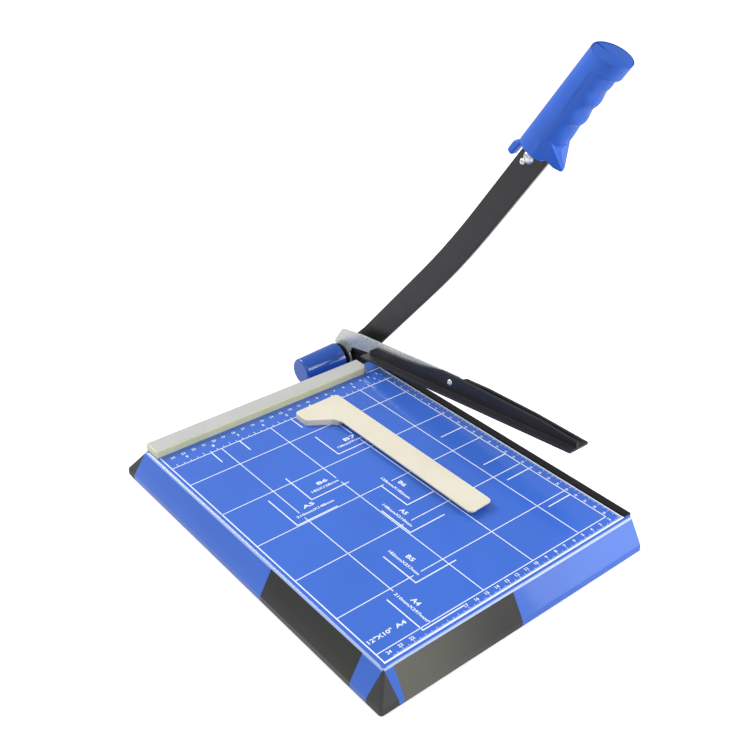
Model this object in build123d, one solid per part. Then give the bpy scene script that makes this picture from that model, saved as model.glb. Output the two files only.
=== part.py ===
"""Guillotine paper trimmer: a pressed steel table, a pivoting blade arm and its finger guard.

All lengths are millimetres. While the pieces are drawn, x = 0 is the shearing face of the fixed
knife, y = 0 is the line of the paper fence and z = 0 is the table top, with +X towards the
cutting side, +Y towards the pivot and +Z up. The finished pieces are then moved so that the
origin lies under the middle of the whole object, on the surface that its feet stand on.
"""
from build123d import *
import os
from math import cos, hypot, pi, radians, sin, sqrt, tan

# Fits, play and cuts
cut_over = 1.0
run_gap = 0.05
pin_play = 0.05
screw_play = 0.1
knife_gap = 0.1
lay_gap = 0.2
guard_gap = 0.8

# Pressed steel table: a flat top with sloping skirts on three sides
sheet = 1.2
bend = 3.0
pan_width = 245.0
pan_front = 306.6
pan_rear = 17.4
skirt_run = 12.2
skirt_run_rear = 16.5
skirt_drop = 21.1
lip = 5.2
skirt_taper = 4.1
skirt_flare = 4.2
skirt_cover = 3.4
flange_drop = 18.0
foot_height = 3.05

# Plastic caps that close the two left corners
cap_wall = 2.6
cap_reach = 24.0
cap_round = 2.5
cap_sink = 0.05

# Two folded braces under the table and what stands on the bench
brace_inset = 44.0
brace_top = 12.0
brace_bottom = 24.0
brace_lift = 1.2
brace_start = 5.0
foot_radius = 10.0
foot_edge = 1.0
foot_inset_left = 20.0
foot_inset_right = 24.0
foot_well = 2.0

# One size of small screw holds the feet, the fence and the knife
screw_radius = 2.0
screw_head = 3.6
screw_head_height = 1.8
screw_grip = 5.0

# Fixed knife bar along the cutting side
bar_thick = 6.8
bar_depth = 20.0
bar_front = 303.3
bar_rear = 75.0
bar_round = 7.0
knife_screw_drop = 11.0
knife_screw_count = 5
knife_screw_end_share = 0.06

# Paper fence at the back of the table, with a let-in top plate
fence_inset_left = 1.8
fence_inset_right = 17.3
fence_front = 1.2
fence_rear = 19.0
fence_height = 6.8
fence_round = 1.0
fence_corner = 4.5
plate_thick = 1.0
plate_border = 0.9
fence_screw_count = 3
fence_screw_cap_gap = 0.8

# Loose L-shaped paper guide, drawn from its rear right corner
guide_thick = 6.0
guide_inset = 69.5
guide_rear = 19.6
guide_leg_width = 24.0
guide_leg_length = 207.5
guide_foot_reach = 48.0
guide_foot_front = 18.6
guide_slant_run = 20.2
guide_slant_drop = 14.1
guide_step = 8.0
guide_skew = 1.2
guide_round = 4.0
guide_edge = 0.8
guide_lip = 1.8
guide_spine = 10.0
guide_spine_inset = 12.0
magnet_radius = 3.5
magnet_thick = 2.5
magnet_count = 3
magnet_end_share = 0.1

# Pivot of the arm and the guard: its axis runs along x
pivot_y = 60.0
pivot_drop = 12.0
bolt_radius = 4.0
bolt_head_width = 13.0
bolt_head_height = 5.5
bolt_washer_radius = 9.0
bolt_washer_thick = 1.1
spacer_radius = 7.3
spacer_thick = 2.8
bolt_tail = 3.0

# Friction spring in its tube behind the fence
seat_washer_thick = 1.5
seat_washer_radius = 14.0
cap_length = 45.2
cap_gap = 4.2
cap_small_radius = 13.3
cap_large_radius = 15.75
cap_tube_wall = 1.2
cap_tube_round = 2.5
nut_width = 14.0
nut_height = 6.0
nut_back = 5.0
end_washer_thick = 1.2
spring_wire = 2.2
spring_radius = 5.7
spring_turns = 6
spring_bend = 2.4

# Arm: straight root, gentle upward bow, then straight into the handle
arm_rest_angle = 47.0
arm_thick = 3.0
arm_width = 24.0
arm_drop = 2.63
arm_eye = 12.5
arm_neck = 43.3
arm_straight = 168.3
arm_bow_radius = 1100.0
arm_bow_angle = 5.3
land_width = 2.2
land_depth = 0.35
tang_width = 15.0
tang_end_gap = 9.5
tang_play = 0.1

# Hardware on the arm, just before the handle
arm_screw_place = 82.0
arm_screw_offset = 3.3
arm_screw_radius = 2.5
arm_screw_head = 5.2
arm_screw_head_height = 2.4
arm_nut_width = 8.0
arm_nut_height = 3.2
rivet_place = 74.5
rivet_offset = 5.2
rivet_radius = 1.5
rivet_head = 2.6
rivet_head_height = 1.2

# Straight driver slots, as shares of the head that they cut
slot_share = 0.13
slot_depth_share = 0.55

# Moulded handle in two halves with an end cap
handle_start = 94.0
blade_sink = 7.5
handle_length = 101.9
handle_offset = 2.4
handle_half_height = 15.4
handle_half_width = 14.0
handle_slant_angle = 16.0
handle_base_angle = 11.3
end_cap_length = 7.0
end_cap_round = 2.0
groove_count = 4
groove_pitch = 17.4
groove_depth = 1.5
groove_start = 15.2
stop_length = 44.0
stop_depth = 26.5
stop_keel_start = 2.5
stop_flank_top = 5.2
stop_flank_width = 13.2
stop_keel_width = 2.0
stop_keel_rise = 1.3
stop_face = 15.3
stop_face_drop = 17.5
stop_face_angle = 36.9
stop_valley_angle = 8.0
relief_width = 4.7
relief_top = 13.0
relief_low = 20.0
relief_length = 4.6
relief_lean = 1.6
nose_reach = 28.0
nose_height = 6.2
nose_width = 8.0
nose_lift = 14.6
nose_neck = 11.0
nose_root = 6.0
grip_screw_count = 2
grip_screw_radius = 1.8
grip_screw_head = 3.4
grip_screw_head_height = 2.2
grip_screw_depth = 8.0
grip_screw_reach = 6.0
grip_screw_end_share = 0.22

# Zinc plated guard plate: a hub on the pivot, a leg and a long bar
guard_rest_angle = 6.58
guard_plate_thick = 2.0
hub_radius = 15.0
leg_front = 15.1
leg_rear = 9.3
notch_far = 19.5
notch_height = 16.0
plate_back_far = 5.5
plate_back_height = 31.6
plate_back_knee = 34.5
plate_top = 33.6
plate_end = 180.5
plate_corner = 2.0

# Black finger guard: flat base, tall rib, low outer wall
guard_left = 22.0
guard_floor = 15.7
guard_thick = 2.0
guard_start = 46.5
guard_end = 318.8
guard_rear_slant = 6.0
rib_thick = 2.7
wall_thick = 2.5
wall_start = 158.5
guard_screw_place = 169.4
guard_screw_height = 26.2
guard_screw_radius = 1.5
guard_screw_head = 3.2
guard_screw_head_height = 1.6
guard_nut_width = 5.5
guard_nut_height = 2.4

# Heights of the rib and the outer wall above the guard's floor, at places along its length
rib_place_shares = (0.0, 0.04, 0.10, 0.20, 0.30, 0.40, 0.50, 0.60, 0.86, 1.0)
rib_height_shares = (0.36, 0.67, 0.69, 0.70, 0.80, 0.99, 0.95, 0.87, 0.65, 0.36)
rib_height = 19.0
wall_place_shares = (0.0, 0.12, 0.30, 0.66, 1.0)
wall_height_shares = (0.28, 1.0, 0.97, 0.66, 0.18)
wall_height = 12.6

# Places that follow from the sizes above
base_height = skirt_drop + lip
pan_right_x = -bar_thick
pan_left_x = pan_right_x - pan_width
stand_z = -(base_height + foot_height)
fence_left_x = pan_left_x + fence_inset_left
fence_right_x = pan_right_x - fence_inset_right
guide_right_x = pan_right_x - guide_inset
fence_mid_y = (fence_front + fence_rear) / 2
pivot_z = -pivot_drop
arm_left_x = knife_gap
arm_right_x = arm_left_x + arm_thick
arm_mid_x = arm_left_x + arm_thick / 2
bolt_washer_x = arm_right_x + run_gap
bolt_head_x = bolt_washer_x + bolt_washer_thick
spacer_x = pan_right_x - spacer_thick
guard_plate_x = spacer_x - run_gap - guard_plate_thick
rib_right_x = guard_plate_x
rib_left_x = rib_right_x - rib_thick
seat_washer_x = guard_plate_x - run_gap - seat_washer_thick
cap_right_x = seat_washer_x - cap_gap
cap_left_x = cap_right_x - cap_length
nut_x = cap_left_x + nut_back
end_washer_x = nut_x + nut_height
bolt_end_x = nut_x - bolt_tail
spring_left_x = end_washer_x + end_washer_thick
bow_end_along = arm_straight + arm_bow_radius * sin(radians(arm_bow_angle))
bow_end_across = -arm_drop + arm_bow_radius * (1 - cos(radians(arm_bow_angle)))

arm_end = handle_start + blade_sink
tang_end = handle_start + handle_length - end_cap_length - tang_end_gap

# Middle of the whole object, on the surface that it stands on
low_x = pan_left_x - skirt_run
high_x = arm_mid_x + handle_half_width
low_y = -pan_front - skirt_run
high_y = bar_rear
middle = Vector((low_x + high_x) / 2, (low_y + high_y) / 2, stand_z)


def outline(points):
    """A flat closed face through the points."""
    return make_face(Polyline(*points, close=True))


def round_at(face, corner, radius):
    """Round the corner of a flat face that lies nearest to a point."""
    nearest = face.vertices().sort_by_distance(Vector(*corner))[0]
    return fillet(nearest, radius)


def along_x(face, x_from, x_to):
    """Carry a face drawn in (y, z) from one x to another."""
    return Pos(x_from, 0, 0) * extrude(Plane.YZ * face, x_to - x_from)


def along_y(face, y_from, y_to):
    """Carry a face drawn in (x, z) from one y to another."""
    return Pos(0, y_to, 0) * extrude(Plane.XZ * face, y_to - y_from)


def block(x_span, y_span, z_span):
    """A rectangular block between two ends on each axis."""
    size = [high - low for low, high in (x_span, y_span, z_span)]
    centre = [(high + low) / 2 for low, high in (x_span, y_span, z_span)]
    return Pos(*centre) * Box(*size)


def rod_x(radius, x_from, x_to):
    """A round bar along x, about the x axis."""
    return Pos((x_from + x_to) / 2, 0, 0) * (Rot(0, 90, 0) * Cylinder(radius, abs(x_to - x_from)))


def rod_z(radius, z_from, z_to):
    """A round bar along z, about the z axis."""
    return Pos(0, 0, (z_from + z_to) / 2) * Cylinder(radius, abs(z_to - z_from))


def hexagon_x(width, x_from, x_to):
    """A hexagonal bar along x, with its flats the given width apart."""
    face = Plane.YZ * RegularPolygon(width / 2, 6, major_radius=False)
    return Pos(x_from, 0, 0) * extrude(face, x_to - x_from)


def offset_side(points, distance):
    """The points of a bent line, moved to its right by a distance."""
    normals = []
    for first, second in zip(points, points[1:]):
        run = hypot(second[0] - first[0], second[1] - first[1])
        normals.append(((second[1] - first[1]) / run, (first[0] - second[0]) / run))
    moved = []
    for index, point in enumerate(points):
        before = normals[max(index - 1, 0)]
        after = normals[min(index, len(normals) - 1)]
        spread = 1 + before[0] * after[0] + before[1] * after[1]
        moved.append((point[0] + distance * (before[0] + after[0]) / spread,
                      point[1] + distance * (before[1] + after[1]) / spread))
    return moved


def folded(points, thick, radius):
    """Section of a folded sheet whose one face runs through the points, with the sheet to its right."""
    other = offset_side(points, thick)
    face = outline(points + other[::-1])
    for index in range(1, len(points) - 1):
        back = (points[index][0] - points[index - 1][0], points[index][1] - points[index - 1][1])
        ahead = (points[index + 1][0] - points[index][0], points[index + 1][1] - points[index][1])
        turns_right = back[0] * ahead[1] - back[1] * ahead[0] < 0
        near_radius, far_radius = (radius, radius - thick) if turns_right else (radius - thick, radius)
        face = round_at(face, points[index], near_radius)
        face = round_at(face, other[index], far_radius)
    return face


def evenly(start, end, count, end_share):
    """Even places along a length, the first and last a share of it in from the ends."""
    inset = (end - start) * end_share
    step = (end - start - 2 * inset) / max(count - 1, 1)
    return [start + inset + step * index for index in range(count)]


def skirt_line(run):
    """Outer face of a skirt that slopes out by a run, as (distance out from the table edge, height)."""
    return [(-bend, 0), (0, 0), (run, -skirt_drop), (run, -base_height)]


def screw_up():
    """Small pan head screw pointing up from the origin, head below."""
    shank = rod_z(screw_radius, 0, screw_grip)
    head = rod_z(screw_head, -screw_head_height, 0)
    head = fillet(head.edges().group_by(Axis.Z)[0], screw_head_height / 2)
    return shank + head


def turned(shape, angle):
    """Turn a piece drawn along the pivot's own frame, and set it on the pivot."""
    return Pos(0, pivot_y, pivot_z) * Rot(-angle, 0, 0) * shape


def base_pan():
    """Table top with its three skirts and the flange that carries the knife."""
    top = block((pan_left_x + bend, pan_right_x - bend), (-pan_front + bend, pan_rear - bend), (-sheet, 0))
    front_edge = -pan_front
    line = folded(skirt_line(skirt_run), sheet, bend)
    front = mirror(line, Plane.YZ)
    front = along_x(Pos(front_edge, 0) * front, pan_left_x, pan_right_x + skirt_cover)
    front = front & along_y(outline([
        (pan_left_x, cut_over), (pan_right_x + skirt_cover, cut_over),
        (pan_right_x + skirt_cover, -base_height - cut_over),
        (pan_left_x + skirt_taper, -base_height - cut_over), (pan_left_x, 0),
    ]), front_edge - skirt_run - cut_over, front_edge + bend + cut_over)
    rear_line = folded(skirt_line(skirt_run_rear), sheet, bend)
    rear = along_x(Pos(pan_rear, 0) * rear_line, pan_left_x, pan_right_x)
    rear = rear & along_y(outline([
        (pan_left_x, cut_over), (pan_right_x, cut_over), (pan_right_x, -base_height - cut_over),
        (pan_left_x + skirt_taper, -base_height - cut_over), (pan_left_x, 0),
    ]), pan_rear - bend - cut_over, pan_rear + skirt_run_rear + cut_over)
    left = along_y(Pos(pan_left_x, 0) * mirror(line, Plane.YZ), front_edge, pan_rear + skirt_flare)
    left = left & along_x(outline([
        (front_edge, 0), (front_edge, cut_over), (pan_rear, cut_over), (pan_rear, 0),
        (pan_rear + skirt_flare, -base_height - cut_over),
        (front_edge + skirt_taper, -base_height - cut_over),
    ]), pan_left_x - skirt_run - cut_over, pan_left_x + bend + cut_over)
    flange_line = folded([(-bend, 0), (0, 0), (0, -flange_drop)], sheet, bend)
    flange = along_y(Pos(pan_right_x, 0) * flange_line, front_edge + bend, pan_rear - bend)
    pan = top + front + rear + left + flange
    for y in knife_screw_places():
        pan -= Pos(0, y, -knife_screw_drop) * rod_x(
            screw_radius + screw_play, pan_right_x - sheet - cut_over, pan_right_x + cut_over)
    for x in fence_screw_places():
        pan -= Pos(x, fence_mid_y, 0) * rod_z(screw_radius + screw_play, -sheet - cut_over, cut_over)
    return pan


def knife_screw_places():
    """Distances along y of the screws that hold the knife."""
    return evenly(-bar_front, pan_rear - bend, knife_screw_count, knife_screw_end_share)


def fence_screw_places():
    """Distances along x of the screws that hold the fence."""
    inset = cap_reach + screw_head + fence_screw_cap_gap
    return evenly(pan_left_x + inset, fence_right_x - inset, fence_screw_count, 0)


def corner_side(inset, run):
    """Section of a corner's filled form under a skirt that slopes out by a run, towards -x."""
    line = offset_side(skirt_line(run), inset)
    outer = inset == cap_sink
    low = -base_height - (0 if outer else cut_over)
    reach = cap_reach + (0 if outer else cut_over)
    face = outline([(-reach, low), (-reach, line[0][1])] + line[1:3] + [(line[3][0], low)])
    if outer:
        face = round_at(face, line[1], bend)
        face = round_at(face, line[2], bend)
    return mirror(face, Plane.YZ)


def corner_form(inset, end_run):
    """Filled form of a skirt corner at the origin, with its faces towards -x and -y."""
    reach = cap_reach + (0 if inset == cap_sink else cut_over)
    across = along_x(corner_side(inset, end_run), -skirt_run - cut_over, reach)
    return across & along_y(corner_side(inset, skirt_run), -end_run - cut_over, reach)


def corner_cap(end_run):
    """Front left corner cap at the origin: it fills the gap between two skirts and laps behind them."""
    form = corner_form(cap_sink, end_run)
    lip_edges = form.edges().filter_by(Axis.Z).sort_by(lambda edge: edge.center().X + edge.center().Y)
    form = fillet(lip_edges[0], cap_round)
    return form - corner_form(cap_wall, end_run)


def placed_caps(pan):
    """The two caps, set in the front and rear left corners."""
    front = Pos(pan_left_x, -pan_front, 0) * corner_cap(skirt_run) - pan
    rear = Pos(pan_left_x, pan_rear, 0) * mirror(corner_cap(skirt_run_rear), Plane.XZ) - pan
    return front, rear


def brace_places():
    """Distances along y of the webs of the two braces, front first."""
    return (-pan_front + brace_inset, pan_rear - brace_inset)


def cross_brace(y, side):
    """Z-section brace under the top: side is 1 where its foot flange points to the rear."""
    floor_z = -base_height + brace_lift
    line = [(-brace_top, -sheet), (0, -sheet), (0, floor_z), (brace_bottom, floor_z)]
    face = folded(line, sheet, sheet * 2)
    face = face if side > 0 else mirror(face, Plane.YZ)
    brace = along_x(Pos(y, 0) * face, pan_left_x + brace_start, pan_right_x - sheet - bend)
    for x in foot_places():
        brace -= Pos(x, y + side * brace_bottom / 2, floor_z - sheet / 2) * rod_z(
            screw_radius + screw_play, -cut_over, cut_over)
    return brace


def foot_places():
    """Distances along x of the feet on each brace."""
    return (pan_left_x + brace_start + foot_inset_left, pan_right_x - foot_inset_right)


def brace_foot_z():
    """Underside of the brace's bottom flange."""
    return -base_height + brace_lift - sheet


def rubber_foot(x, y):
    """Rubber foot with a well for its screw head."""
    foot = rod_z(foot_radius, stand_z, brace_foot_z())
    foot = fillet(foot.edges().group_by(Axis.Z)[0], foot_edge)
    foot -= rod_z(screw_head + screw_play, stand_z - cut_over, stand_z + foot_well)
    foot -= rod_z(screw_radius + screw_play, stand_z, brace_foot_z() + cut_over)
    return Pos(x, y, 0) * foot


def bed_knife():
    """Fixed knife bar, which runs on behind the table to carry the pivot."""
    face = outline([(-bar_front, 0), (bar_rear, 0), (bar_rear, -bar_depth), (-bar_front, -bar_depth)])
    face = round_at(face, (bar_rear, 0), bar_round)
    face = round_at(face, (bar_rear, -bar_depth), bar_round)
    bar = along_x(face, pan_right_x, 0)
    bar -= Pos(0, pivot_y, pivot_z) * rod_x(bolt_radius + pin_play, pan_right_x - cut_over, cut_over)
    for y in knife_screw_places():
        bar -= Pos(0, y, -knife_screw_drop) * rod_x(
            screw_radius + screw_play, pan_right_x - cut_over, pan_right_x + screw_grip)
    return bar


def knife_screws():
    """Screws that hold the knife bar to the flange, put in from under the table."""
    screw = Rot(0, 90, 0) * screw_up()
    return [Pos(pan_right_x - sheet, y, -knife_screw_drop) * screw for y in knife_screw_places()]


def fence():
    """Moulded fence rail with a recess for its top plate."""
    body = block((fence_left_x, fence_right_x), (fence_front, fence_rear), (0, fence_height))
    corner = body.edges().filter_by(Axis.Z).sort_by(lambda edge: edge.center().X - edge.center().Y)
    body = chamfer(corner[-1], fence_corner)
    body = fillet(body.faces().sort_by(Axis.Z)[-1].edges(), fence_round)
    body -= fence_plate()
    for x in fence_screw_places():
        body -= Pos(x, fence_mid_y, 0) * rod_z(
            screw_radius + screw_play, -cut_over, screw_grip - sheet)
    return body


def fence_plate():
    """Grey plate let into the top of the fence."""
    inset = fence_round + plate_border
    slant = fence_corner + inset * (2 - sqrt(2))
    left, right = fence_left_x + inset, fence_right_x - inset
    front, rear = fence_front + inset, fence_rear - inset
    corner = slant - inset
    face = outline([(left, front), (right - corner, front), (right, front + corner), (right, rear), (left, rear)])
    return Pos(0, 0, fence_height - plate_thick) * extrude(face, plate_thick)


def fence_screws():
    """Screws that hold the fence, put in from under the table."""
    return [Pos(x, fence_mid_y, -sheet) * screw_up() for x in fence_screw_places()]


def guide_outline():
    """Plan of the L-shaped guide: long leg towards the front, short leg towards the left."""
    right, rear = guide_right_x, -guide_rear
    front = rear - guide_leg_length
    leg_left = right - guide_leg_width
    short_left = right - guide_foot_reach
    points = [
        (right, rear), (right - guide_skew, front), (leg_left - guide_skew, front - guide_skew),
        (leg_left, rear - guide_foot_front - guide_slant_drop - guide_step),
        (short_left + guide_slant_run, rear - guide_foot_front - guide_slant_drop),
        (short_left, rear - guide_foot_front), (short_left, rear - guide_skew),
    ]
    face = outline(points)
    for point in (points[0], points[1], points[2], points[5], points[6]):
        face = round_at(face, point, guide_round)
    return face


def magnet_places():
    """Centres of the magnets: one under the short leg, the rest along the long one."""
    mid_leg = guide_right_x - guide_leg_width / 2
    mid_short = guide_right_x - guide_foot_reach + guide_foot_front / 2 + guide_round
    ends = evenly(-guide_rear - guide_leg_length, -guide_rear - guide_foot_front,
                  magnet_count - 1, magnet_end_share)
    return [(mid_leg, y) for y in ends] + [(mid_short, -guide_rear - guide_foot_front / 2 - guide_skew / 2)]


def guide_hollow():
    """Room under the long leg, which leaves it a thin lip around a narrow spine."""
    middle = guide_right_x - guide_leg_width / 2
    rear = -guide_rear - guide_foot_front - guide_slant_drop - guide_step / 2
    front = -guide_rear - guide_leg_length
    height = (lay_gap - cut_over, lay_gap + guide_thick - guide_lip)
    room = block((guide_right_x - guide_foot_reach, guide_right_x + cut_over),
                 (front - guide_skew - cut_over, rear), height)
    spine = block((middle - guide_spine / 2, middle + guide_spine / 2),
                  (front + guide_spine_inset, rear), height)
    return room - spine


def paper_guide():
    """Loose guide: a thick head, and a long leg that is a thin plate on a spine."""
    plate = Pos(0, 0, lay_gap) * extrude(guide_outline(), guide_thick)
    plate = fillet(plate.faces().sort_by(Axis.Z)[-1].edges(), guide_edge) - guide_hollow()
    for x, y in magnet_places():
        plate -= Pos(x, y, 0) * rod_z(magnet_radius, lay_gap - cut_over, lay_gap + magnet_thick)
    return plate


def guide_magnets():
    """Disc magnets in the guide's underside."""
    return [Pos(x, y, 0) * rod_z(magnet_radius, lay_gap, lay_gap + magnet_thick) for x, y in magnet_places()]


def pivot_bolt():
    """Bolt that carries the arm, the guard and the friction spring."""
    shank = rod_x(bolt_radius, bolt_end_x, bolt_head_x)
    head = hexagon_x(bolt_head_width, bolt_head_x, bolt_head_x + bolt_head_height)
    return Pos(0, pivot_y, pivot_z) * (shank + head)


def ring_x(outer, inner, x_from, x_to):
    """Round washer or tube on the pivot's axis."""
    low, high = min(x_from, x_to), max(x_from, x_to)
    return Pos(0, pivot_y, pivot_z) * (rod_x(outer, low, high) - rod_x(inner, low - cut_over, high + cut_over))


def cap_radius_at(x, wall):
    """Radius of the tapered spring tube at a distance along x, a wall in from its outside."""
    share = (x - cap_left_x) / cap_length
    return cap_small_radius + (cap_large_radius - cap_small_radius) * share - wall


def spring_cap():
    """Tapered tube, closed at its left end, that hides the spring."""
    outer = [(cap_left_x, 0), (cap_left_x, cap_small_radius), (cap_right_x, cap_large_radius), (cap_right_x, 0)]
    body = outline(outer)
    body = round_at(body, outer[1], cap_tube_round)
    inside_left = cap_left_x + cap_tube_wall
    body -= outline([
        (inside_left, 0), (inside_left, cap_radius_at(inside_left, cap_tube_wall)),
        (cap_right_x + cut_over, cap_radius_at(cap_right_x + cut_over, cap_tube_wall)), (cap_right_x + cut_over, 0),
    ])
    return Pos(0, pivot_y, pivot_z) * revolve(body, Axis.X, 360)


def end_washer():
    """Washer between the spring and the nut, which also centres the tube."""
    washer = rod_x(cap_radius_at(end_washer_x, cap_tube_wall) - run_gap, end_washer_x, spring_left_x)
    washer -= rod_x(bolt_radius + pin_play, end_washer_x - cut_over, spring_left_x + cut_over)
    return Pos(0, pivot_y, pivot_z) * washer


def lock_nut():
    """Nut that sets the friction of the pivot."""
    nut = hexagon_x(nut_width, nut_x, end_washer_x)
    return Pos(0, pivot_y, pivot_z) * (nut - rod_x(bolt_radius + pin_play, nut_x - cut_over, end_washer_x + cut_over))


def biarc(start, start_way, end, end_way):
    """Two arcs from a point and its direction to another, smooth where they meet."""
    gap = end - start
    ways = start_way + end_way
    spread = 2 * (1 - start_way.dot(end_way))
    along = gap.dot(ways)
    reach = (-along + sqrt(along * along + spread * gap.dot(gap))) / spread
    first, second = start + start_way * reach, end - end_way * reach
    joint = (first + second) * 0.5
    return [TangentArc(start, joint, tangent=start_way), TangentArc(joint, end, tangent=second - first)]


def coil_point(turn, rise):
    """A point of the coil about x and its direction, after a number of turns."""
    angle = 2 * pi * turn
    way = Vector(rise / (2 * pi * spring_radius), -sin(angle), cos(angle)).normalized()
    return Vector(rise * turn, spring_radius * cos(angle), spring_radius * sin(angle)), way


def spring_path():
    """Centre line of the spring: straight ends along the bolt, a bend, then the coil in quarter turns."""
    space = seat_washer_x - spring_left_x
    rise = (space - 2 * spring_wire - 2 * spring_bend) / spring_turns
    steps = [coil_point(index / 4, rise) for index in range(spring_turns * 4 + 1)]
    shift = Vector(spring_left_x + spring_wire + spring_bend, 0, 0)
    steps = [(point + shift, way) for point, way in steps]
    axis = Vector(1, 0, 0)
    first, first_way = steps[0]
    last, last_way = steps[-1]
    into = Vector(spring_left_x + spring_wire, first.Y, first.Z - spring_bend)
    leave = Vector(seat_washer_x - spring_wire, last.Y, last.Z + spring_bend)
    edges = [Line(into - axis * spring_wire, into)]
    edges += biarc(into, axis, first, first_way)
    for (start, start_way), (end, end_way) in zip(steps, steps[1:]):
        edges += biarc(start, start_way, end, end_way)
    edges += biarc(last, last_way, leave, axis)
    edges.append(Line(leave, leave + axis * spring_wire))
    print("spring: least gap between curls %.2f mm" % (rise - spring_wire))
    return Wire(edges)


def pivot_spring():
    """Coil spring on the bolt, one unbroken wire."""
    path = spring_path()
    section = Plane(origin=path @ 0, z_dir=path % 0) * Circle(spring_wire / 2)
    return Pos(0, pivot_y, pivot_z) * sweep(section, path)


def arm_place(along, across):
    """A point in the arm's own frame, given along and across the straight beyond its bow."""
    turn = radians(arm_bow_angle)
    return (bow_end_along + along * cos(turn) - across * sin(turn),
            bow_end_across + along * sin(turn) + across * cos(turn))


def flat(face):
    """Stand a face drawn in the arm's own frame, forward and up, in the plane of the pivot."""
    return Plane(origin=(0, 0, 0), x_dir=(0, -1, 0), z_dir=(-1, 0, 0)) * face


def slab(face, x_from, x_to):
    """Thicken a face drawn in the arm's or guard's own frame between two x places."""
    return Pos(x_to, 0, 0) * extrude(flat(face), x_to - x_from)


def arm_edge(side):
    """One long edge of the arm as points and the middle of its bow: side is 1 for the back edge."""
    half = side * arm_width / 2
    bow = arm_bow_radius - half
    turn = radians(arm_bow_angle)
    start = (arm_straight, half - arm_drop)
    middle_point = (arm_straight + bow * sin(turn / 2), half - arm_drop + bow * (1 - cos(turn / 2)))
    return start, middle_point, arm_place(0, half), arm_place(arm_end, half)


def arm_outline():
    """Outline of the arm with its eye and the tang that the handle holds."""
    back_start, back_mid, back_end, back_tip = arm_edge(1)
    edge_start, edge_mid, edge_end, edge_tip = arm_edge(-1)
    neck_back = (arm_neck, arm_width / 2 - arm_drop)
    neck_edge = (arm_neck, -arm_width / 2 - arm_drop)
    lines = [
        Line((0, arm_eye), neck_back), Line(neck_back, back_start),
        ThreePointArc(back_start, back_mid, back_end), Line(back_end, back_tip),
        Line(back_tip, arm_place(arm_end, tang_width / 2)),
        Line(arm_place(arm_end, tang_width / 2), arm_place(tang_end, tang_width / 2)),
        Line(arm_place(tang_end, tang_width / 2), arm_place(tang_end, -tang_width / 2)),
        Line(arm_place(tang_end, -tang_width / 2), arm_place(arm_end, -tang_width / 2)),
        Line(arm_place(arm_end, -tang_width / 2), edge_tip),
        Line(edge_tip, edge_end), ThreePointArc(edge_end, edge_mid, edge_start),
        Line(edge_start, neck_edge), Line(neck_edge, (0, -arm_eye)),
        ThreePointArc((0, -arm_eye), (-arm_eye, 0), (0, arm_eye)),
    ]
    return make_face(lines)


def blade_arm():
    """Blade and arm in one bar, ground with a bright land along its cutting edge."""
    arm = slab(arm_outline(), arm_left_x, arm_right_x)
    for along, across, radius in (
            (arm_screw_place, arm_screw_offset, arm_screw_radius), (rivet_place, rivet_offset, rivet_radius)):
        y, z = arm_place(along, across)
        arm -= slab(Pos(y, z) * Circle(radius + screw_play), arm_left_x - cut_over, arm_right_x + cut_over)
    arm -= rod_x(bolt_radius + pin_play, arm_left_x - cut_over, arm_right_x + cut_over)
    for along in tang_screw_places():
        y, z = arm_place(along, handle_offset)
        arm -= slab(Pos(y, z) * Circle(grip_screw_radius + screw_play), arm_left_x - cut_over, arm_right_x + cut_over)
    return turned(arm - land_cutter(), arm_rest_angle)


def land_cutter():
    """Sliver taken off the inner face along the cutting edge."""
    start, mid, end, tip = arm_edge(-1)
    low = -arm_width / 2 - arm_drop
    section = outline([(-cut_over, low - cut_over), (arm_left_x + land_depth, low - cut_over),
                       (arm_left_x + land_depth, low), (arm_left_x, low + land_width), (-cut_over, low + land_width)])
    path = Wire([Line((0, -arm_neck, low), (0, -start[0], start[1])),
                 ThreePointArc((0, -start[0], start[1]), (0, -mid[0], mid[1]), (0, -end[0], end[1])),
                 Line((0, -end[0], end[1]), (0, -tip[0], tip[1]))])
    section = Pos(0, -arm_neck, 0) * (Plane.XZ * section)
    return sweep(section, path)


def tang_screw_places():
    """Distances of the grip screws, along the straight beyond the arm's bow."""
    return evenly(arm_end, tang_end, grip_screw_count, grip_screw_end_share)


def domed_x(radius, height, x):
    """Round domed head that rises towards -x from a flat seat at x."""
    ball = (radius * radius + height * height) / (2 * height)
    return (Pos(x - height + ball, 0, 0) * Sphere(ball)) & rod_x(radius, x - height - cut_over, x)


def on_arm(shape, along, across):
    """Set a piece drawn on the x axis at a place on the arm, in the arm's turned position."""
    y, z = arm_place(along, across)
    return turned(Pos(0, -y, z) * shape, arm_rest_angle)


def arm_screw():
    """Domed screw through the arm before the handle."""
    shape = domed_x(arm_screw_head, arm_screw_head_height, arm_left_x)
    shape += rod_x(arm_screw_radius, arm_left_x - run_gap, arm_right_x + arm_nut_height)
    slot = block((arm_left_x - arm_screw_head_height - cut_over, arm_left_x - arm_screw_head_height * slot_depth_share),
                 (-arm_screw_head, arm_screw_head), (-arm_screw_head * slot_share, arm_screw_head * slot_share))
    return on_arm(shape - slot, arm_screw_place, arm_screw_offset)


def arm_nut():
    """Nut of the arm screw, on the outer face."""
    nut = hexagon_x(arm_nut_width, arm_right_x, arm_right_x + arm_nut_height)
    nut -= rod_x(arm_screw_radius, arm_right_x - cut_over, arm_right_x + arm_nut_height + cut_over)
    return on_arm(nut, arm_screw_place, arm_screw_offset)


def arm_rivet():
    """Small rivet beside the arm screw."""
    shape = domed_x(rivet_head, rivet_head_height, arm_left_x)
    shape += rod_x(rivet_radius, arm_left_x - run_gap, arm_right_x + rivet_head_height)
    return on_arm(shape, rivet_place, rivet_offset)


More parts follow.
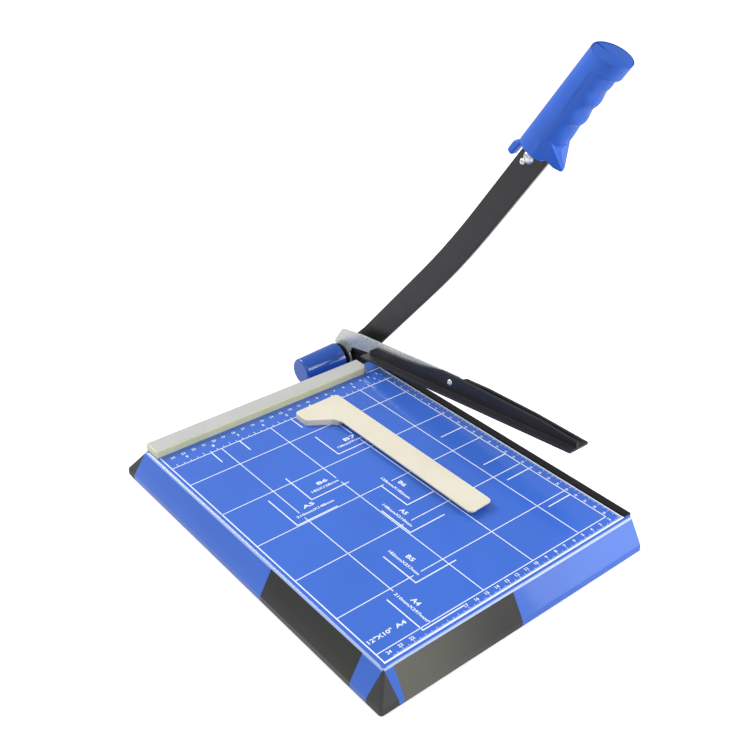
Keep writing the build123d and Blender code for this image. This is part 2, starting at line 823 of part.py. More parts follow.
def handle_slice(start_low, start_high, end_low, end_high):
    """Side outline of a length of the handle, given where it starts and ends below and above."""
    low, high = -handle_half_height * 2, handle_half_height * 2
    return outline([(start_low, low), (start_high, high), (end_high, high), (end_low, low)])


def straight_frame(shape):
    """Move a piece drawn along the handle's own axis to its place on the arm, still unturned."""
    y, z = arm_place(handle_start, handle_offset)
    return Pos(0, -y, z) * Rot(-arm_bow_angle, 0, 0) * shape


def half_span(side, reach):
    """The x span of one half of the handle: side is 1 for the right half, -1 for the left."""
    return (arm_mid_x, arm_mid_x + reach) if side > 0 else (arm_mid_x - reach, arm_mid_x)


def grip_side():
    """Side outline of the grip, from its slanted base to its slanted end."""
    lean = 2 * handle_half_height * tan(radians(handle_slant_angle))
    base_lean = 2 * handle_half_height * tan(radians(handle_base_angle))
    return handle_slice(base_lean, -base_lean, handle_length + lean, handle_length - lean)


def grip_bar(side):
    """One half of the rounded bar of the grip."""
    width = half_span(side, handle_half_width)
    section = Pos(arm_mid_x, 0) * Ellipse(handle_half_width, handle_half_height)
    section = section & outline([(width[0], -handle_half_height), (width[1], -handle_half_height),
                                 (width[1], handle_half_height), (width[0], handle_half_height)])
    bar = along_y(section, -handle_length - handle_half_height, handle_half_height)
    return bar & slab(grip_side(), width[0] - cut_over, width[1] + cut_over)


def groove_cutters(side):
    """Row of shallow finger grooves across the underside."""
    radius = (groove_pitch * groove_pitch / 4 + groove_depth * groove_depth) / (2 * groove_depth)
    low_x, high_x = half_span(side, handle_half_width)
    centre = -handle_half_height + groove_depth - radius
    places = [groove_start + groove_pitch * (index + 0.5) for index in range(groove_count)]
    return [slab(Pos(along, centre) * Circle(radius), low_x - cut_over, high_x + cut_over) for along in places]


def stop_valley(side):
    """Space in front of the stop's sloping face, which runs back on each side of the parting line."""
    slope, spread = radians(stop_face_angle), tan(radians(stop_valley_angle))
    far = handle_half_width + cut_over
    wedge = outline([
        (arm_mid_x - side * cut_over, spread * cut_over), (arm_mid_x + side * far, -spread * far),
        (arm_mid_x + side * far, -stop_length), (arm_mid_x - side * cut_over, -stop_length),
    ])
    face = Plane(origin=(0, -stop_face, -stop_face_drop), x_dir=(1, 0, 0), z_dir=(0, -sin(slope), cos(slope)))
    return extrude(face * wedge, stop_length, both=True)


def hand_stop(side):
    """One half of the keel under the front of the grip, which keeps the hand off the blade."""
    base = handle_half_height * tan(radians(handle_base_angle))
    face = outline([(0, 0), (base, -handle_half_height), (stop_keel_start, -stop_depth),
                    (stop_length, -stop_depth), (stop_length, 0)])
    keel = outline([(arm_mid_x, 0), (arm_mid_x + side * stop_flank_width, -stop_flank_top),
                    (arm_mid_x + side * stop_keel_width, -stop_depth + stop_keel_rise), (arm_mid_x, -stop_depth)])
    stop = slab(face, *half_span(side, handle_half_width)) & along_y(keel, -stop_length, stop_length)
    return stop - stop_valley(side)


def table_relief():
    """Space cut off the left half's lower base, so that the lowered handle passes the front skirt."""
    low = -handle_half_height * 2
    face = outline([(-handle_half_height, -relief_top), (relief_length, -relief_top),
                    (relief_length + relief_lean, -relief_low), (relief_length + relief_lean, low),
                    (-handle_half_height, low)])
    return slab(face, arm_mid_x - handle_half_width - cut_over, arm_mid_x - relief_width)


def nose_outline():
    """Side outline of the nose: a rounded stub over the arm's spine, on a neck from the grip."""
    tip = -nose_reach
    low, high = nose_lift, nose_lift + nose_height
    points = [
        (tip, low), (tip, high), (tip + nose_neck, high), (-nose_neck, low + nose_height / 4),
        (nose_root, low), (nose_root, low - nose_height / 2), (-nose_neck, low - nose_height / 4),
    ]
    face = outline(points)
    for point in points[:3]:
        face = round_at(face, point, nose_height / 3)
    return face


def handle_half(side):
    """One moulded half of the handle: the right one carries the nose above the arm."""
    half = grip_bar(side)
    for groove in groove_cutters(side):
        half -= groove
    half += hand_stop(side)
    if side < 0:
        half -= table_relief()
    half -= end_cap_region(cut_over)
    half = straight_frame(half) - flat_tang(tang_play)
    for along in tang_screw_places():
        y, z = arm_place(along, handle_offset)
        half -= Pos(0, -y, z) * grip_screw_room()
    if side > 0:
        half += straight_frame(slab(nose_outline(), arm_mid_x, arm_mid_x + nose_width))
    return turned(half, arm_rest_angle)


def end_cap_region(grow):
    """Slanted slice of space at the end of the grip that the end cap takes."""
    lean = 2 * handle_half_height * tan(radians(handle_slant_angle))
    start = handle_length - end_cap_length
    side = handle_slice(start + lean, start - lean, handle_length + lean + grow, handle_length - lean + grow)
    return slab(side, arm_mid_x - handle_half_width - grow, arm_mid_x + handle_half_width + grow)


def flat_tang(play):
    """Space that the arm takes inside the handle, with a little play round it."""
    half = tang_width / 2 + play
    wide = arm_width / 2 + play
    end = tang_end + play
    inner = outline([arm_place(arm_end, half), arm_place(end, half), arm_place(end, -half), arm_place(arm_end, -half)])
    blade = outline([arm_place(0, wide), arm_place(arm_end + play, wide), arm_place(arm_end + play, -wide),
                     arm_place(0, -wide)])
    x_from, x_to = arm_left_x - play, arm_right_x + play
    return slab(inner, x_from, x_to) + slab(blade, x_from, x_to)


def grip_screw():
    """Screw that clamps the two halves, its head sunk in the right half."""
    seat = arm_mid_x + handle_half_width - grip_screw_depth
    shank = rod_x(grip_screw_radius, arm_mid_x - grip_screw_reach, seat)
    return shank + rod_x(grip_screw_head, seat, seat + grip_screw_head_height)


def grip_screw_room():
    """Holes for the grip screws in both halves."""
    seat = arm_mid_x + handle_half_width - grip_screw_depth
    room = rod_x(grip_screw_radius + screw_play, arm_mid_x - grip_screw_reach, seat)
    return room + rod_x(grip_screw_head + screw_play, seat, arm_mid_x + handle_half_width + cut_over)


def handle_end_cap():
    """Slanted cap that closes the end of the grip."""
    cap = (grip_bar(-1) + grip_bar(1)) & end_cap_region(0)
    far = cap.faces().sort_by(lambda face: face.center().Y)[0]
    cap = fillet(far.edges(), end_cap_round)
    return turned(straight_frame(cap), arm_rest_angle)


def grip_screws():
    """The screws that clamp the two halves of the handle."""
    screws = []
    for along in tang_screw_places():
        y, z = arm_place(along, handle_offset)
        screws.append(turned(Pos(0, -y, z) * grip_screw(), arm_rest_angle))
    return screws


def guard_spacer():
    """Tube between the knife bar and the guard plate."""
    return ring_x(spacer_radius, bolt_radius + pin_play, spacer_x, pan_right_x)


def guard_plate():
    """Zinc plated carrier of the finger guard: hub, leg and bar in one flat plate."""
    bottom = guard_floor + guard_thick
    bar = outline([
        (-leg_rear, notch_height), (plate_back_far, plate_back_height), (plate_back_knee, plate_top),
        (plate_end - plate_corner, plate_top), (plate_end, plate_top - plate_corner),
        (plate_end, bottom), (guard_start, bottom), (notch_far, notch_height),
        (leg_front - plate_corner, notch_height / 2), (leg_front, 0), (0, 0), (-leg_rear, 0),
    ])
    face = bar + Circle(hub_radius)
    plate = slab(face, guard_plate_x, guard_plate_x + guard_plate_thick)
    plate -= rod_x(bolt_radius + pin_play, guard_plate_x - cut_over, spacer_x + cut_over)
    plate -= Pos(0, -guard_screw_place, guard_screw_height) * rod_x(
        guard_screw_radius + screw_play, guard_plate_x - cut_over, spacer_x + cut_over)
    return turned(plate, guard_rest_angle)


def guard_profile(start, places, heights, height):
    """Side outline of an upright wall on the guard, from shares of its length and height."""
    length = guard_end - start
    top = [(start + length * place, guard_floor + height * share) for place, share in zip(places, heights)]
    return outline([(start, guard_floor)] + top + [(guard_end, guard_floor)])


def finger_guard():
    """Black moulded guard: flat base, tall rib by the blade's path and a low outer wall."""
    right = -guard_gap
    base = slab(outline([
        (guard_start, guard_floor + guard_thick), (guard_start + guard_rear_slant, guard_floor),
        (guard_end, guard_floor), (guard_end, guard_floor + guard_thick),
    ]), -guard_left, right)
    rib = slab(guard_profile(guard_start + guard_rear_slant, rib_place_shares, rib_height_shares, rib_height),
               rib_left_x, rib_right_x)
    wall = slab(guard_profile(wall_start, wall_place_shares, wall_height_shares, wall_height),
                right - wall_thick, right)
    guard = base + rib + wall
    guard -= Pos(0, -guard_screw_place, guard_screw_height) * rod_x(
        guard_screw_radius + screw_play, rib_left_x - cut_over, rib_right_x + cut_over)
    return turned(guard, guard_rest_angle)


def guard_screw():
    """Silver screw that holds the guard to its plate."""
    shape = domed_x(guard_screw_head, guard_screw_head_height, rib_left_x)
    shape += rod_x(guard_screw_radius, rib_left_x - run_gap, spacer_x - run_gap + guard_nut_height)
    slot = block((rib_left_x - guard_screw_head_height - cut_over, rib_left_x - guard_screw_head_height * slot_depth_share),
                 (-guard_screw_head, guard_screw_head), (-guard_screw_head * slot_share, guard_screw_head * slot_share))
    return turned(Pos(0, -guard_screw_place, guard_screw_height) * (shape - slot), guard_rest_angle)


def guard_nut():
    """Nut of the guard screw."""
    seat = guard_plate_x + guard_plate_thick
    nut = hexagon_x(guard_nut_width, seat, seat + guard_nut_height)
    nut -= rod_x(guard_screw_radius, seat - cut_over, seat + guard_nut_height + cut_over)
    return turned(Pos(0, -guard_screw_place, guard_screw_height) * nut, guard_rest_angle)


def save(name, shape):
    """Write one piece, or a list of like pieces, in the finished place."""
    solids = shape if isinstance(shape, list) else [shape]
    moved = [Pos(*(-middle)) * solid for solid in solids]
    export_step(moved[0] if len(moved) == 1 else Compound(moved), "parts/" + name + ".step")


def main():
    """Build every piece and write it."""
    os.makedirs("parts", exist_ok=True)
    pan = base_pan()
    save("base_pan", pan)
    cap_front, cap_rear = placed_caps(pan)
    save("corner_cap_front", cap_front)
    save("corner_cap_rear", cap_rear)
    foot_screws = []
    for place, y, side in zip(("front", "rear"), brace_places(), (-1, 1)):
        save("cross_brace_" + place, cross_brace(y, side))
        for hand, x in zip(("left", "right"), foot_places()):
            foot_y = y + side * brace_bottom / 2
            save("rubber_foot_%s_%s" % (place, hand), rubber_foot(x, foot_y))
            foot_screws.append(Pos(x, foot_y, stand_z + foot_well) * screw_up())
    save("foot_screws", foot_screws)
    save("bed_knife", bed_knife())
    save("knife_screws", knife_screws())
    save("fence", fence())
    save("fence_plate", fence_plate())
    save("fence_screws", fence_screws())
    save("paper_guide", paper_guide())
    save("guide_magnets", guide_magnets())
    save("pivot_bolt", pivot_bolt())
    save("bolt_washer", ring_x(bolt_washer_radius, bolt_radius + pin_play, bolt_washer_x, bolt_head_x))
    save("guard_spacer", guard_spacer())
    save("guard_plate", guard_plate())
    save("finger_guard", finger_guard())
    save("guard_screw", guard_screw())
    save("guard_nut", guard_nut())
    save("seat_washer", ring_x(seat_washer_radius, bolt_radius + pin_play, seat_washer_x,
                               seat_washer_x + seat_washer_thick))
    save("pivot_spring", pivot_spring())
    save("end_washer", end_washer())
    save("lock_nut", lock_nut())
    save("spring_cap", spring_cap())
    save("blade_arm", blade_arm())
    save("arm_screw", arm_screw())
    save("arm_nut", arm_nut())
    save("arm_rivet", arm_rivet())
    save("handle_left", handle_half(-1))
    save("handle_right", handle_half(1))
    save("handle_end_cap", handle_end_cap())
    save("grip_screws", grip_screws())
    print("middle", tuple(middle))


main()
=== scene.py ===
import logging
import math
from dataclasses import dataclass, field
from enum import Enum
from typing import Optional, Sequence

import bmesh
import bpy
import numpy as np
from mathutils import Matrix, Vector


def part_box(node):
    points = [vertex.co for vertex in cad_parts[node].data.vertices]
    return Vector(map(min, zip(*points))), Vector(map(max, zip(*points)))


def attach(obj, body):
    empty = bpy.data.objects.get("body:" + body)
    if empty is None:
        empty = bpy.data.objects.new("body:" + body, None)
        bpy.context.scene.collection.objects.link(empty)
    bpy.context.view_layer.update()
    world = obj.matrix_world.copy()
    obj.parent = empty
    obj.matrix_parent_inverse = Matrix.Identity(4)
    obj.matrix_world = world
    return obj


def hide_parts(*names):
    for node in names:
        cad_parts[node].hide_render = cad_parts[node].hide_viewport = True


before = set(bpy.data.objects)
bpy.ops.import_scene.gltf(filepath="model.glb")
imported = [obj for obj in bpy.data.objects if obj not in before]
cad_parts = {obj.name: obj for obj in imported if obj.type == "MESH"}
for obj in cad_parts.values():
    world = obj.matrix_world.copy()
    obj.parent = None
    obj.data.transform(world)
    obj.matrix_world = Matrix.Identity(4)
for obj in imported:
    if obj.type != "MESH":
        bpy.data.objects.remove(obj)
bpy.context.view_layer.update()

MM = 0.001
TABLE, ARM, GUARD, GUIDE = "table", "arm", "guard", "guide"

logging.basicConfig(level=logging.INFO, format="%(message)s")
log = logging.getLogger("trimmer")


# Places: every assembly is worked out in millimetres in its own local frame

@dataclass(frozen=True)
class Place:
    """A local frame in millimetres: where its origin is, and where its three axes point."""

    origin: tuple
    axes: tuple = ((1, 0, 0), (0, 1, 0), (0, 0, 1))

    def out(self, points: np.ndarray) -> np.ndarray:
        """Carries local points into the shared frame: origin plus each coordinate along its axis.

        Args:
            points: any array whose last axis holds three local coordinates, in millimetres.

        Returns:
            The same points in the shared frame, in metres.
        """
        return (np.asarray(self.origin) + np.asarray(points, float) @ np.asarray(self.axes, float)) * MM

    def turned(self, angle: float, origin: Sequence[float]) -> "Place":
        """A frame inside this one whose second axis runs forward and up at an angle.

        Args:
            angle: degrees between the new second axis and this frame's backward direction, reversed.
            origin: the new frame's origin, in this frame's coordinates.

        Returns:
            The frame with axes (x, along, across).
        """
        c, s = math.cos(math.radians(angle)), math.sin(math.radians(angle))
        local = np.array([(1, 0, 0), (0, -c, s), (0, s, c)], float)
        start = np.asarray(self.origin) + np.asarray(origin, float) @ np.asarray(self.axes, float)
        return Place(tuple(start), tuple(map(tuple, local @ np.asarray(self.axes, float))))


def low(node: str) -> np.ndarray:
    """Lowest corner of a CAD node, in millimetres."""
    return np.array(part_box(node)[0]) / MM


def high(node: str) -> np.ndarray:
    """Highest corner of a CAD node, in millimetres."""
    return np.array(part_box(node)[1]) / MM


FENCE_FRONT = 1.2
PIVOT_BEHIND = 60.0
PIVOT_BELOW = 12.0
ARM_REST = 47.0
ARM_BOW = 5.3
BOW_END = (0.0, 269.91, 2.07)
GUARD_REST = 6.58

BENCH = Place((high("bed_knife")[0], low("fence")[1] - FENCE_FRONT, high("base_pan")[2]))
PIVOT = (0.0, PIVOT_BEHIND, -PIVOT_BELOW)
ARM_LINE = BENCH.turned(ARM_REST, PIVOT)
GUARD_LINE = BENCH.turned(GUARD_REST, PIVOT)


def bow_place() -> Place:
    """Frame of the arm's straight end: the arm's own frame, turned on by the bow."""
    c, s = math.cos(math.radians(ARM_BOW)), math.sin(math.radians(ARM_BOW))
    local = np.array([(1, 0, 0), (0, c, s), (0, -s, c)], float)
    axes = np.asarray(ARM_LINE.axes, float)
    start = np.asarray(ARM_LINE.origin) + np.asarray(BOW_END) @ axes
    return Place(tuple(start), tuple(map(tuple, local @ axes)))


GRIP_LINE = bow_place()
EASED_ANGLE = 28.0      # edges that turn by more degrees than this are rounded
FLAT_ANGLE = 0.4        # faces of a CAD copy that meet at fewer degrees than this become one
CAD_MERGE = 2e-6        # metres under which points of a CAD copy are one
NEAR_ZERO = 1e-3


# Meshes

def new_object(name: str, points: np.ndarray, faces: Sequence[Sequence[int]],
               smooth: bool = True) -> bpy.types.Object:
    """Puts worked-out points and faces into a mesh object at the origin.

    Args:
        name: name of the piece.
        points: (n, 3) array in metres.
        faces: point numbers of each face, anticlockwise from outside.
        smooth: whether the faces are shaded smooth.

    Returns:
        The new object, linked to the scene.
    """
    mesh = bpy.data.meshes.new(name)
    mesh.from_pydata(np.asarray(points, float).tolist(), [], [list(map(int, f)) for f in faces])
    mesh.polygons.foreach_set("use_smooth", np.full(len(mesh.polygons), smooth))
    mesh.validate()
    mesh.update()
    obj = bpy.data.objects.new(name, mesh)
    bpy.context.scene.collection.objects.link(obj)
    return obj


def tube(rings: np.ndarray) -> tuple:
    """Closed skin through rings of points, with a flat cap at each end.

    One quad joins points j and j + 1 of ring i with the same points of ring i + 1.

    Args:
        rings: (rows, columns, 3) array.

    Returns:
        Points (n, 3) and the list of faces.
    """
    rows, columns = rings.shape[:2]
    i, j = np.meshgrid(np.arange(rows - 1) * columns, np.arange(columns), indexing="ij")
    k = (j + 1) % columns
    faces = np.stack([i + j, i + k, i + columns + k, i + columns + j], -1).reshape(-1, 4).tolist()
    faces += [list(range(columns))[::-1], list(range((rows - 1) * columns, rows * columns))]
    return rings.reshape(-1, 3), faces


def tidy_normals(obj: bpy.types.Object, merge: float = 1e-7) -> bpy.types.Object:
    """Merges doubled points and turns every face outwards.

    Args:
        obj: a mesh object.
        merge: distance under which points are one, in metres.

    Returns:
        The same object.
    """
    work = bmesh.new()
    work.from_mesh(obj.data)
    bmesh.ops.remove_doubles(work, verts=work.verts, dist=merge)
    bmesh.ops.recalc_face_normals(work, faces=work.faces)
    work.to_mesh(obj.data)
    work.free()
    return obj


def ease(obj: bpy.types.Object, width: float, segments: int) -> bpy.types.Object:
    """Rounds the sharp edges of a piece and lets its flat faces shade flat.

    Args:
        obj: a mesh object.
        width: width of the rounding, in millimetres.
        segments: faces across the rounding.

    Returns:
        The same object.
    """
    bevel = obj.modifiers.new("eased", "BEVEL")
    bevel.width = width * MM
    bevel.segments = segments
    bevel.limit_method = "ANGLE"
    bevel.angle_limit = math.radians(EASED_ANGLE)
    bevel.harden_normals = False
    shade = obj.modifiers.new("shading", "WEIGHTED_NORMAL")
    shade.keep_sharp = True
    return obj


def eased_node(name: str, node: str, width: float, segments: int = 2) -> bpy.types.Object:
    """A merged copy of a CAD solid with eased edges, which stands for it.

    Args:
        name: name of the piece.
        node: the CAD node it replaces.
        width: width of the rounding, in millimetres.
        segments: faces across the rounding.

    Returns:
        The new object.
    """
    work = bmesh.new()
    work.from_mesh(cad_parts[node].data)
    bmesh.ops.remove_doubles(work, verts=work.verts, dist=CAD_MERGE)
    flat = math.radians(FLAT_ANGLE)
    bmesh.ops.dissolve_limit(work, angle_limit=flat, verts=work.verts, edges=work.edges)
    work.verts.index_update()
    points = np.array([v.co for v in work.verts])
    faces = [[v.index for v in f.verts] for f in work.faces]
    work.free()
    obj = ease(new_object(name, points, faces), width, segments)
    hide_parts(node)
    return obj


# Shader maths

class Value:
    """A shader socket on which Python's operators add Math nodes."""

    def __init__(self, paint: "Paint", socket: bpy.types.NodeSocket) -> None:
        """Keeps the socket and the node tree that it belongs to."""
        self.paint, self.socket = paint, socket

    def other(self, output: object) -> "Value":
        """Another output of the same node."""
        return Value(self.paint, self.socket.node.outputs[output])

    def math(self, operation: str, first: object, second: object) -> "Value":
        """One Math node on two operands, sockets or numbers."""
        return self.paint.node("ShaderNodeMath", {0: first, 1: second}, operation=operation)

    def __add__(self, more: object) -> "Value":
        """Sum."""
        return self.math("ADD", self, more)

    __radd__ = __add__

    def __sub__(self, less: object) -> "Value":
        """Difference."""
        return self.math("SUBTRACT", self, less)

    def __rsub__(self, whole: object) -> "Value":
        """Number minus socket."""
        return self.math("SUBTRACT", whole, self)

    def __mul__(self, times: object) -> "Value":
        """Product."""
        return self.math("MULTIPLY", self, times)

    __rmul__ = __mul__

    def most(self, rival: object) -> "Value":
        """The larger of two."""
        return self.math("MAXIMUM", self, rival)

    def step(self, start: float, end: float) -> "Value":
        """0 below start, 1 above end, and a soft curve between them."""
        return self.paint.node("ShaderNodeMapRange", {"Value": self, "From Min": start, "From Max": end},
                               interpolation_type="SMOOTHSTEP")


def colour(red: float, green: float, blue: float) -> tuple:
    """Colour as a screen shows it (0 to 255), as the linear values that a shader takes."""
    s = np.array([red, green, blue]) / 255
    linear = np.where(s <= 0.04045, s / 12.92, ((s + 0.055) / 1.055) ** 2.4)
    return (*linear.tolist(), 1.0)


@dataclass(frozen=True)
class Grain:
    """Noise: waves per metre, detail, roughness, and the span of it that is spread softly over 0 to 1."""

    scale: float
    detail: float = 3.0
    rough: float = 0.5
    span: tuple = ()


class Paint:
    """One node tree, of a material or of the world, with the few nodes that every finish here needs."""

    def __init__(self, name: str, world: bool = False) -> None:
        """Starts a material, or a world, that holds only its shader."""
        blocks, kind, end = bpy.data.materials, "ShaderNodeBsdfPrincipled", "ShaderNodeOutputMaterial"
        if world:
            blocks, kind, end = bpy.data.worlds, "ShaderNodeBackground", "ShaderNodeOutputWorld"
        self.owner = blocks.new(name)
        self.owner.use_nodes = True
        self.tree = self.owner.node_tree
        self.tree.nodes.clear()
        self.shader = self.tree.nodes.new(kind)
        self.tree.links.new(self.shader.outputs[0], self.tree.nodes.new(end).inputs["Surface"])
        self._place: Optional[Value] = None

    def node(self, kind: str, inputs: Optional[dict] = None, output: object = 0,
             **settings: object) -> Value:
        """Adds one node.

        Args:
            kind: the node's type.
            inputs: socket names or numbers with the links or values that they take.
            output: name or number of the output that is returned.
            settings: the node's own settings, set before its sockets.

        Returns:
            The chosen output.
        """
        made = self.tree.nodes.new(kind)
        for key, value in settings.items():
            setattr(made, key, value)
        for key, value in (inputs or {}).items():
            self.feed(made.inputs[key], value)
        return Value(self, made.outputs[output])

    def feed(self, socket: bpy.types.NodeSocket, value: object) -> None:
        """Links a socket, or sets its constant."""
        if isinstance(value, Value):
            self.tree.links.new(value.socket, socket)
        else:
            socket.default_value = value

    def set(self, **values: object) -> None:
        """Sets the surface shader's sockets, with underscores for the spaces in their names."""
        for key, value in values.items():
            self.feed(self.shader.inputs[key.replace("_", " ")], value)

    @property
    def place(self) -> Value:
        """Object coordinates, in metres."""
        if self._place is None:
            self._place = self.node("ShaderNodeTexCoord", output="Object")
        return self._place

    def axes(self) -> tuple:
        """The x, y and z of the place."""
        split = self.node("ShaderNodeSeparateXYZ", {0: self.place})
        return tuple(split.other(i) for i in range(3))

    def stretched(self, scale: Sequence[float]) -> Value:
        """The place stretched along the axes, for a grain with a direction."""
        return self.node("ShaderNodeMapping", {"Vector": self.place, "Scale": tuple(scale)})

    def noise(self, grain: Grain, where: Optional[Value] = None) -> Value:
        """Soft noise from 0 to 1."""
        inputs = {"Vector": where or self.place, "Scale": grain.scale, "Detail": grain.detail,
                  "Roughness": grain.rough}
        noise = self.node("ShaderNodeTexNoise", inputs, output="Fac")
        return noise.step(*grain.span) if grain.span else noise

    @staticmethod
    def about(middle: float, swing: float, noise: Value) -> Value:
        """A value that noise swings about its middle."""
        return noise * swing + (middle - swing / 2)

    def mix(self, share: object, first: object, second: object) -> Value:
        """Colour between two colours."""
        return self.node("ShaderNodeMix", {0: share, 6: first, 7: second}, output=2, data_type="RGBA")

    def bump(self, height: Value, depth: float, strength: float) -> None:
        """Raises the surface by a height from 0 to 1 times a depth in metres."""
        raised = {"Height": height, "Distance": depth, "Strength": strength}
        self.set(Normal=self.node("ShaderNodeBump", raised))


# Finishes

@dataclass(frozen=True)
class Foil:
    """A blank dark foil stuck on a skirt.

    It has its span along the skirt, the place where the skirt starts, its own top, and a tone at each end.
    """

    axis: int
    start: float
    end: float
    beyond: float
    top: float
    tones: tuple
    edge: float = 0.00012

    def share(self, place: tuple) -> "Value":
        """1 on the foil: inside its span, beyond the skirt's top edge and below its own top."""
        along, out, z = place[self.axis], place[1 - self.axis], place[2]
        inside = along.step(self.start - self.edge, self.start + self.edge)
        inside = inside * along.step(self.end + self.edge, self.end - self.edge)
        below = z.step(self.top + self.edge, self.top - self.edge)
        return inside * out.step(self.beyond, self.beyond - self.edge) * below

    def tone(self, paint: "Paint", place: tuple) -> "Value":
        """Colour from one tone to the other along the span."""
        return paint.mix(place[self.axis].step(self.start, self.end), *self.tones)


@dataclass(frozen=True)
class Enamel:
    """Baked paint on sheet steel: even colour, slight orange peel, a few dull patches, stuck foils, and a pale
    painted highlight along the bends.
    """

    name: str
    tone: tuple
    deep: tuple
    roughness: float = 0.34
    coat: float = 0.5
    coat_roughness: float = 0.07
    specular: float = 0.3
    foils: tuple = ()
    # heights, tone and share of the painted highlight along the pan's bends
    bend_highlight: tuple = ()
    bend_highlight_tone: tuple = colour(214, 228, 252)
    bend_highlight_share: float = 0.55
    drift: Grain = Grain(9.0, 2.0, span=(0.35, 0.7))
    haze: Grain = Grain(60.0, 4.0)
    swing: float = 0.1
    peel: Grain = Grain(600.0, 2.0)
    relief: tuple = (0.00002, 0.2)

    def make(self) -> bpy.types.Material:
        """Colour drifts a little between two tones; roughness and fine ripples come from noise.

        Along the bends, between four heights, the colour is pulled towards a pale tone: a painted highlight
        that stands in for the lamp's reflection on the rounded bend.
        """
        paint = Paint(self.name)
        base = paint.mix(paint.noise(self.drift), self.tone, self.deep)
        if self.foils:
            place = paint.axes()
            start, full, fading, end = self.bend_highlight
            # painted highlight: a pale band between the bend heights, standing in for the lamp's reflection on
            # the bend
            wear_and_highlight = place[2].step(start, full) * place[2].step(end, fading) * self.bend_highlight_share
            base = paint.mix(wear_and_highlight, base, self.bend_highlight_tone)
            for foil in self.foils:
                base = paint.mix(foil.share(place), base, foil.tone(paint, place))
        rough = paint.about(self.roughness, self.swing, paint.noise(self.haze))
        paint.set(Base_Color=base, Roughness=rough, Coat_Weight=self.coat,
                  Coat_Roughness=self.coat_roughness, Specular_IOR_Level=self.specular)
        paint.bump(paint.noise(self.peel), *self.relief)
        return paint.owner


@dataclass(frozen=True)
class Moulded:
    """Moulded plastic: fine spark grain, soft mottling, some light inside where it is translucent."""

    name: str
    tone: tuple
    shade: tuple
    roughness: float = 0.42
    swing: float = 0.12
    mottle: Grain = Grain(35.0, 4.0, span=(0.3, 0.75))
    grain: Grain = Grain(1800.0, 2.0)
    relief: tuple = (0.00003, 0.5)
    inner: float = 0.0
    inner_radius: tuple = (1.0, 0.8, 0.4)
    inner_reach: float = 0.004
    coat: float = 0.0
    coat_roughness: float = 0.08
    specular: float = 0.5

    def make(self) -> bpy.types.Material:
        """Colour mottles between two tones; grain is fine noise raised as bump and roughness."""
        paint = Paint(self.name)
        fine = paint.noise(self.grain)
        paint.set(Base_Color=paint.mix(paint.noise(self.mottle), self.tone, self.shade),
                  Roughness=paint.about(self.roughness, self.swing, fine), Specular_IOR_Level=self.specular)
        if self.coat:
            paint.set(Coat_Weight=self.coat, Coat_Roughness=self.coat_roughness)
        if self.inner:
            paint.set(Subsurface_Weight=self.inner, Subsurface_Radius=self.inner_radius,
                      Subsurface_Scale=self.inner_reach)
        paint.bump(fine, *self.relief)
        return paint.owner


@dataclass(frozen=True)
class Zinc:
    """Zinc plated sheet: bluish spangle that passes into pale gold along the part."""

    name: str
    blue: tuple
    gold: tuple
    start: float = 0.0
    end: float = 0.1
    drift: Grain = Grain(30.0)
    drift_reach: float = 0.05
    cells: float = 420.0
    flecks: Grain = Grain(240.0)
    fleck_span: tuple = (0.2, 0.8)
    fleck_share: float = 0.35
    fleck_tone: tuple = colour(246, 249, 252)
    metallic: float = 0.6
    roughness: float = 0.31
    swing: float = 0.22
    grain: Grain = Grain(1500.0)
    relief: tuple = (0.00002, 0.4)

    def make(self) -> bpy.types.Material:
        """Spangle is a cell pattern in lightness; gold comes in along -y from start to end."""
        paint = Paint(self.name)
        _, y, _ = paint.axes()
        cells = paint.node("ShaderNodeTexVoronoi", {"Vector": paint.place, "Scale": self.cells})
        drift = (paint.noise(self.drift) * self.drift_reach + y).step(self.end, self.start)
        tone = paint.mix(drift, self.gold, self.blue)
        fleck = cells * 0.5 + paint.noise(self.flecks) * 0.5
        pale = fleck.step(*self.fleck_span) * self.fleck_share
        paint.set(Base_Color=paint.mix(pale, tone, self.fleck_tone), Metallic=self.metallic,
                  Roughness=paint.about(self.roughness, self.swing, fleck))
        paint.bump(paint.noise(self.grain), *self.relief)
        return paint.owner


@dataclass(frozen=True)
class Metal:
    """Turned, rolled or ground metal with fine lines along one direction."""

    name: str
    tone: tuple
    roughness: float = 0.25
    metallic: float = 1.0
    lines: tuple = (400.0, 400.0, 400.0)
    line_grain: Grain = Grain(1.0, 4.0, 0.6)
    swing: float = 0.16
    relief: tuple = (0.00002, 0.3)
    wear: float = 0.15
    wear_and_highlight: tuple = (0.8, 0.8, 0.8, 1.0)
    patches: Grain = Grain(70.0, 4.0, 0.6, (0.5, 0.8))
    specular: float = 0.5

    def make(self) -> bpy.types.Material:
        """Lines are noise stretched along the part; wear lightens the colour in patches."""
        paint = Paint(self.name)
        lines = paint.noise(self.line_grain, paint.stretched(self.lines))
        base = paint.mix(paint.noise(self.patches) * self.wear, self.tone, self.wear_and_highlight)
        paint.set(Base_Color=base, Metallic=self.metallic, Specular_IOR_Level=self.specular,
                  Roughness=paint.about(self.roughness, self.swing, lines))
        paint.bump(lines, *self.relief)
        return paint.owner


@dataclass(frozen=True)
class Rubber:
    """Matt rubber with dust in its pores."""

    name: str
    tone: tuple
    dust: tuple
    dust_share: float = 0.5
    dust_grain: Grain = Grain(90.0, 5.0, span=(0.5, 0.8))
    roughness: float = 0.795
    swing: float = 0.15
    haze: Grain = Grain(500.0)
    pores: Grain = Grain(1300.0)
    relief: tuple = (0.00006, 0.6)

    def make(self) -> bpy.types.Material:
        """Dust is broad noise, pores are fine bump."""
        paint = Paint(self.name)
        dusty = paint.noise(self.dust_grain) * self.dust_share
        paint.set(Base_Color=paint.mix(dusty, self.tone, self.dust),
                  Roughness=paint.about(self.roughness, self.swing, paint.noise(self.haze)))
        paint.bump(paint.noise(self.pores), *self.relief)
        return paint.owner


